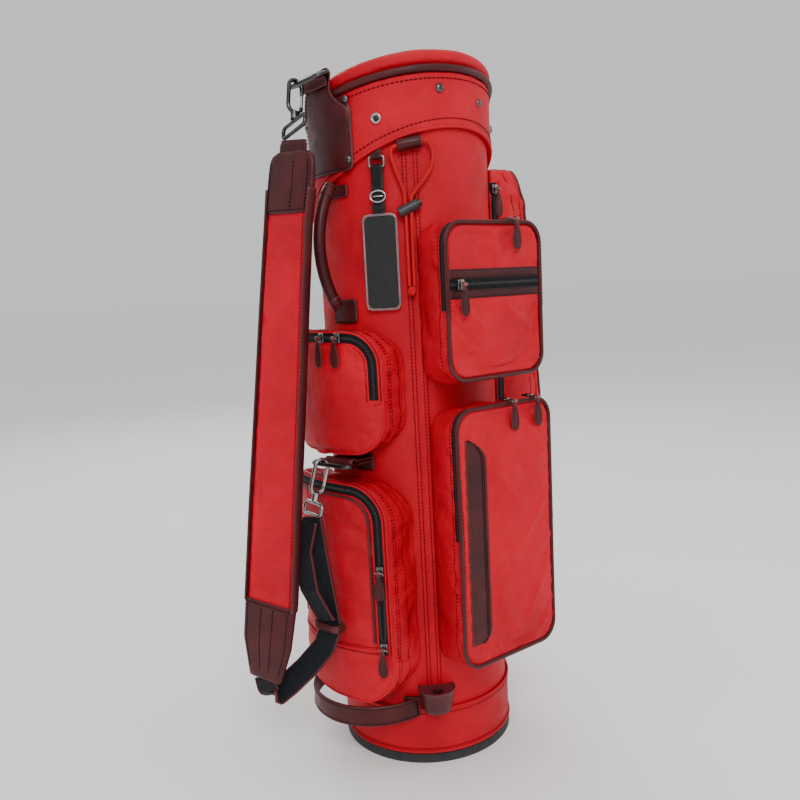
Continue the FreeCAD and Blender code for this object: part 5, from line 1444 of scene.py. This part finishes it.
def make_cord(name, start, route, node):
    data = bpy.data.curves.new(name, "CURVE")
    data.dimensions = "3D"
    line = data.splines.new("NURBS")
    points = [start] + [tuple(place(*spot)) for spot in route]
    line.points.add(len(points) - 1)
    for spot, point in zip(points, line.points):
        point.co = (spot[0] * MM, spot[1] * MM, spot[2] * MM, 1.0)
    line.order_u = 3
    line.use_endpoint_u = True
    line.resolution_u = 12
    data.bevel_depth = 2.3 * MM
    data.bevel_resolution = 4
    data.use_fill_caps = True
    data.materials.append(ELASTIC)
    item = bpy.data.objects.new(name, data)
    bpy.context.scene.collection.objects.link(item)
    settle(item, "root", [node])
    return item


def make_umbrella():
    knot_at = place(-35, 120.3, 610)
    t = np.linspace(0, TAU, 60, endpoint=False)
    loop = np.stack([(np.sin(t) + 2 * np.sin(2 * t)) * 1.15, (np.cos(t) - 2 * np.cos(2 * t)) * 1.15,
                     -np.sin(3 * t) * 3.2], -1)
    rings = sweep(loop + knot_at, unit(loop * (1, 1, 0.2)), oval(2.2, 2.2, 10), closed=True)
    core = rod(knot_at - UP * 5, knot_at + UP * 5.6, 3.2, 12)
    knot = build("cord_knot_tied", join(rings, core), ELASTIC, "root", "elastic_cord", ["cord_knot"])
    for side, exit_at, route, length in (("left", LEFT_END, LEFT_ROUTE, 0.1701),
                                         ("right", RIGHT_END, RIGHT_ROUTE, 0.1859)):
        cord = make_cord(f"umbrella_cord_{side}", exit_at, route, f"cord_{side}")
    left, right = np.array(LEFT_END), np.array(RIGHT_END)
    span = np.linspace(0, 1, 30)[:, None]
    path = left + (right - left) * span
    size = 6.85 - 0.5 * np.exp(-((np.minimum(span, 1 - span)[:, 0]) / 0.03))
    build("cord_sleeve", tube_along(path, size, 24, 0.012, 9), LEATHER, slot="leather", replaces=["cord_tube"])
    seam = path - UP * 6.9
    sew(BROWN_STITCH, seam, np.tile(-UP, (30, 1)), pitch=3.8)


# ---------------------------------------------------------------- inside, and carried nodes
def sheet_top(y):
    """The height of the cloth sheets, just below the divider's frame."""
    return 807 - 0.3 - RIM_SLOPE * y


def make_inside():
    parts = []
    sheets = [((-97, -33), (97, -33)), ((-97, 33), (97, 33)), ((0, -102.5), (0, -34.2)), ((0, -31.8), (0, 31.8)),
              ((0, 34.2), (0, 102.5))]
    for number, (start, end) in enumerate(sheets):
        start, end = np.array((*start, 0.0)), np.array((*end, 0.0))
        along = unit(end - start)
        side = np.cross(along, UP)
        length = np.linalg.norm(end - start)
        columns, rows = max(4, int(length / 8)), 60
        rings = []
        for share in np.linspace(0, 1, columns):
            spot = start + along * length * share
            z = np.linspace(5.4, sheet_top(spot[1]), rows)
            line = spot + UP * z[:, None]
            edge = min(share, 1 - share)
            wave = ripple(line, 80 + number, 70, 0.5) * np.clip(edge * 6, 0, 1) * np.clip((z[-1] - z) / 40, 0, 1)
            line = line + side * wave[:, None]
            rings.append(np.vstack([line + side * 0.9, (line - side * 0.9)[::-1]]))
        parts.append(skin(np.array(rings)))
    build("divider_sheets", join(*parts), LINING, slot="divider_cloth", replaces=["divider_walls"], sharp=60)


CARRIED = {"base_cup": RUBBER, "divider_frame": DIVIDER, "stay_rods": GLASS, "umbrella_cup": MAROON, "top_ring": GUN,
           "lower_ring": GUN, "upper_hook": GUN, "upper_gate": NICKEL, "lower_hook": NICKEL, "lower_gate": NICKEL,
           "tag_ring": NICKEL, "cord_lock": BLACK, "cord_button": BLACK}


def paint_carried():
    for name, material in CARRIED.items():
        mesh = frame["nodes"][name].data
        mesh.materials.clear()
        mesh.materials.append(material)


# ---------------------------------------------------------------- stage, lights, camera
def make_stage():
    bpy.ops.mesh.primitive_circle_add(vertices=96, radius=60.0, fill_type="NGON", location=(0, 0, -0.0004))
    floor = bpy.context.object
    floor.name = "floor"
    floor.data.materials.append(paper_floor())
    world = bpy.data.worlds.new("studio")
    world.use_nodes = True
    world.node_tree.nodes["Background"].inputs[0].default_value = (0.95, 0.955, 0.965, 1)
    world.node_tree.nodes["Background"].inputs[1].default_value = 0.81
    bpy.context.scene.world = world
    lights = [("key", (-1.3, -2.1, 2.1), 1.1, 44), ("fill", (2.3, -1.5, 1.5), 1.6, 14),
              ("back", (0.6, 2.4, 2.2), 1.5, 22), ("top", (0, 0, 3.0), 1.4, 12)]
    for name, spot, size, power in lights:
        data = bpy.data.lights.new(name, "AREA")
        data.shape = "DISK"
        data.size = size
        data.energy = power
        lamp = bpy.data.objects.new(name, data)
        lamp.location = spot
        lamp.rotation_euler = (Vector((0, 0, 0.45)) - Vector(spot)).to_track_quat("-Z", "Y").to_euler()
        bpy.context.scene.collection.objects.link(lamp)


def turned(vector, axis, degrees):
    return (Matrix.Rotation(math.radians(degrees), 3, axis) @ vector).normalized()


def make_camera():
    azimuth, yaw, pitch, roll = math.radians(-38), 0.9, -7.98, 2.98
    up = Vector((0, 0, 1))
    ahead = turned(Vector((-math.sin(azimuth), math.cos(azimuth), 0)), up, yaw)
    right = turned(Vector((math.cos(azimuth), math.sin(azimuth), 0)), up, yaw)
    look = turned(ahead, right, pitch)
    above = turned(turned(up, right, pitch), look, roll)
    right = turned(right, look, roll)
    data = bpy.data.cameras.new("camera")
    data.sensor_width = 36.0
    data.lens = 36.57
    data.clip_start = 0.05
    camera = bpy.data.objects.new("camera", data)
    basis = Matrix((right, above, -look)).transposed().to_4x4()
    camera.matrix_world = Matrix.Translation((-0.67722762, -0.86681183, 0.617)) @ basis
    bpy.context.scene.collection.objects.link(camera)
    bpy.context.scene.camera = camera


make_camera()
make_umbrella()
make_tube()
dress_front_upper(make_pocket("front_upper"))
dress_front_lower(make_pocket("front_lower"))
for pocket_name in ("side_upper", "side_lower"):
    dress_side(pocket_name, make_pocket(pocket_name))
dress_garment(make_pocket("garment"))
make_sliders()
make_strap()
make_patch()
make_grip()
make_base_handle()
make_tag()
make_inside()
paint_carried()
spill(threads, {"red": ("stitching_red", THREAD, "nylon"), "brown": ("stitching_brown", BROWN_THREAD, "leather"),
                "pull": ("stitching", BROWN_THREAD, "pull_leather")})
spill(teeth, {"teeth": ("zip_teeth", TEETH, "gunmetal")})
make_stage()
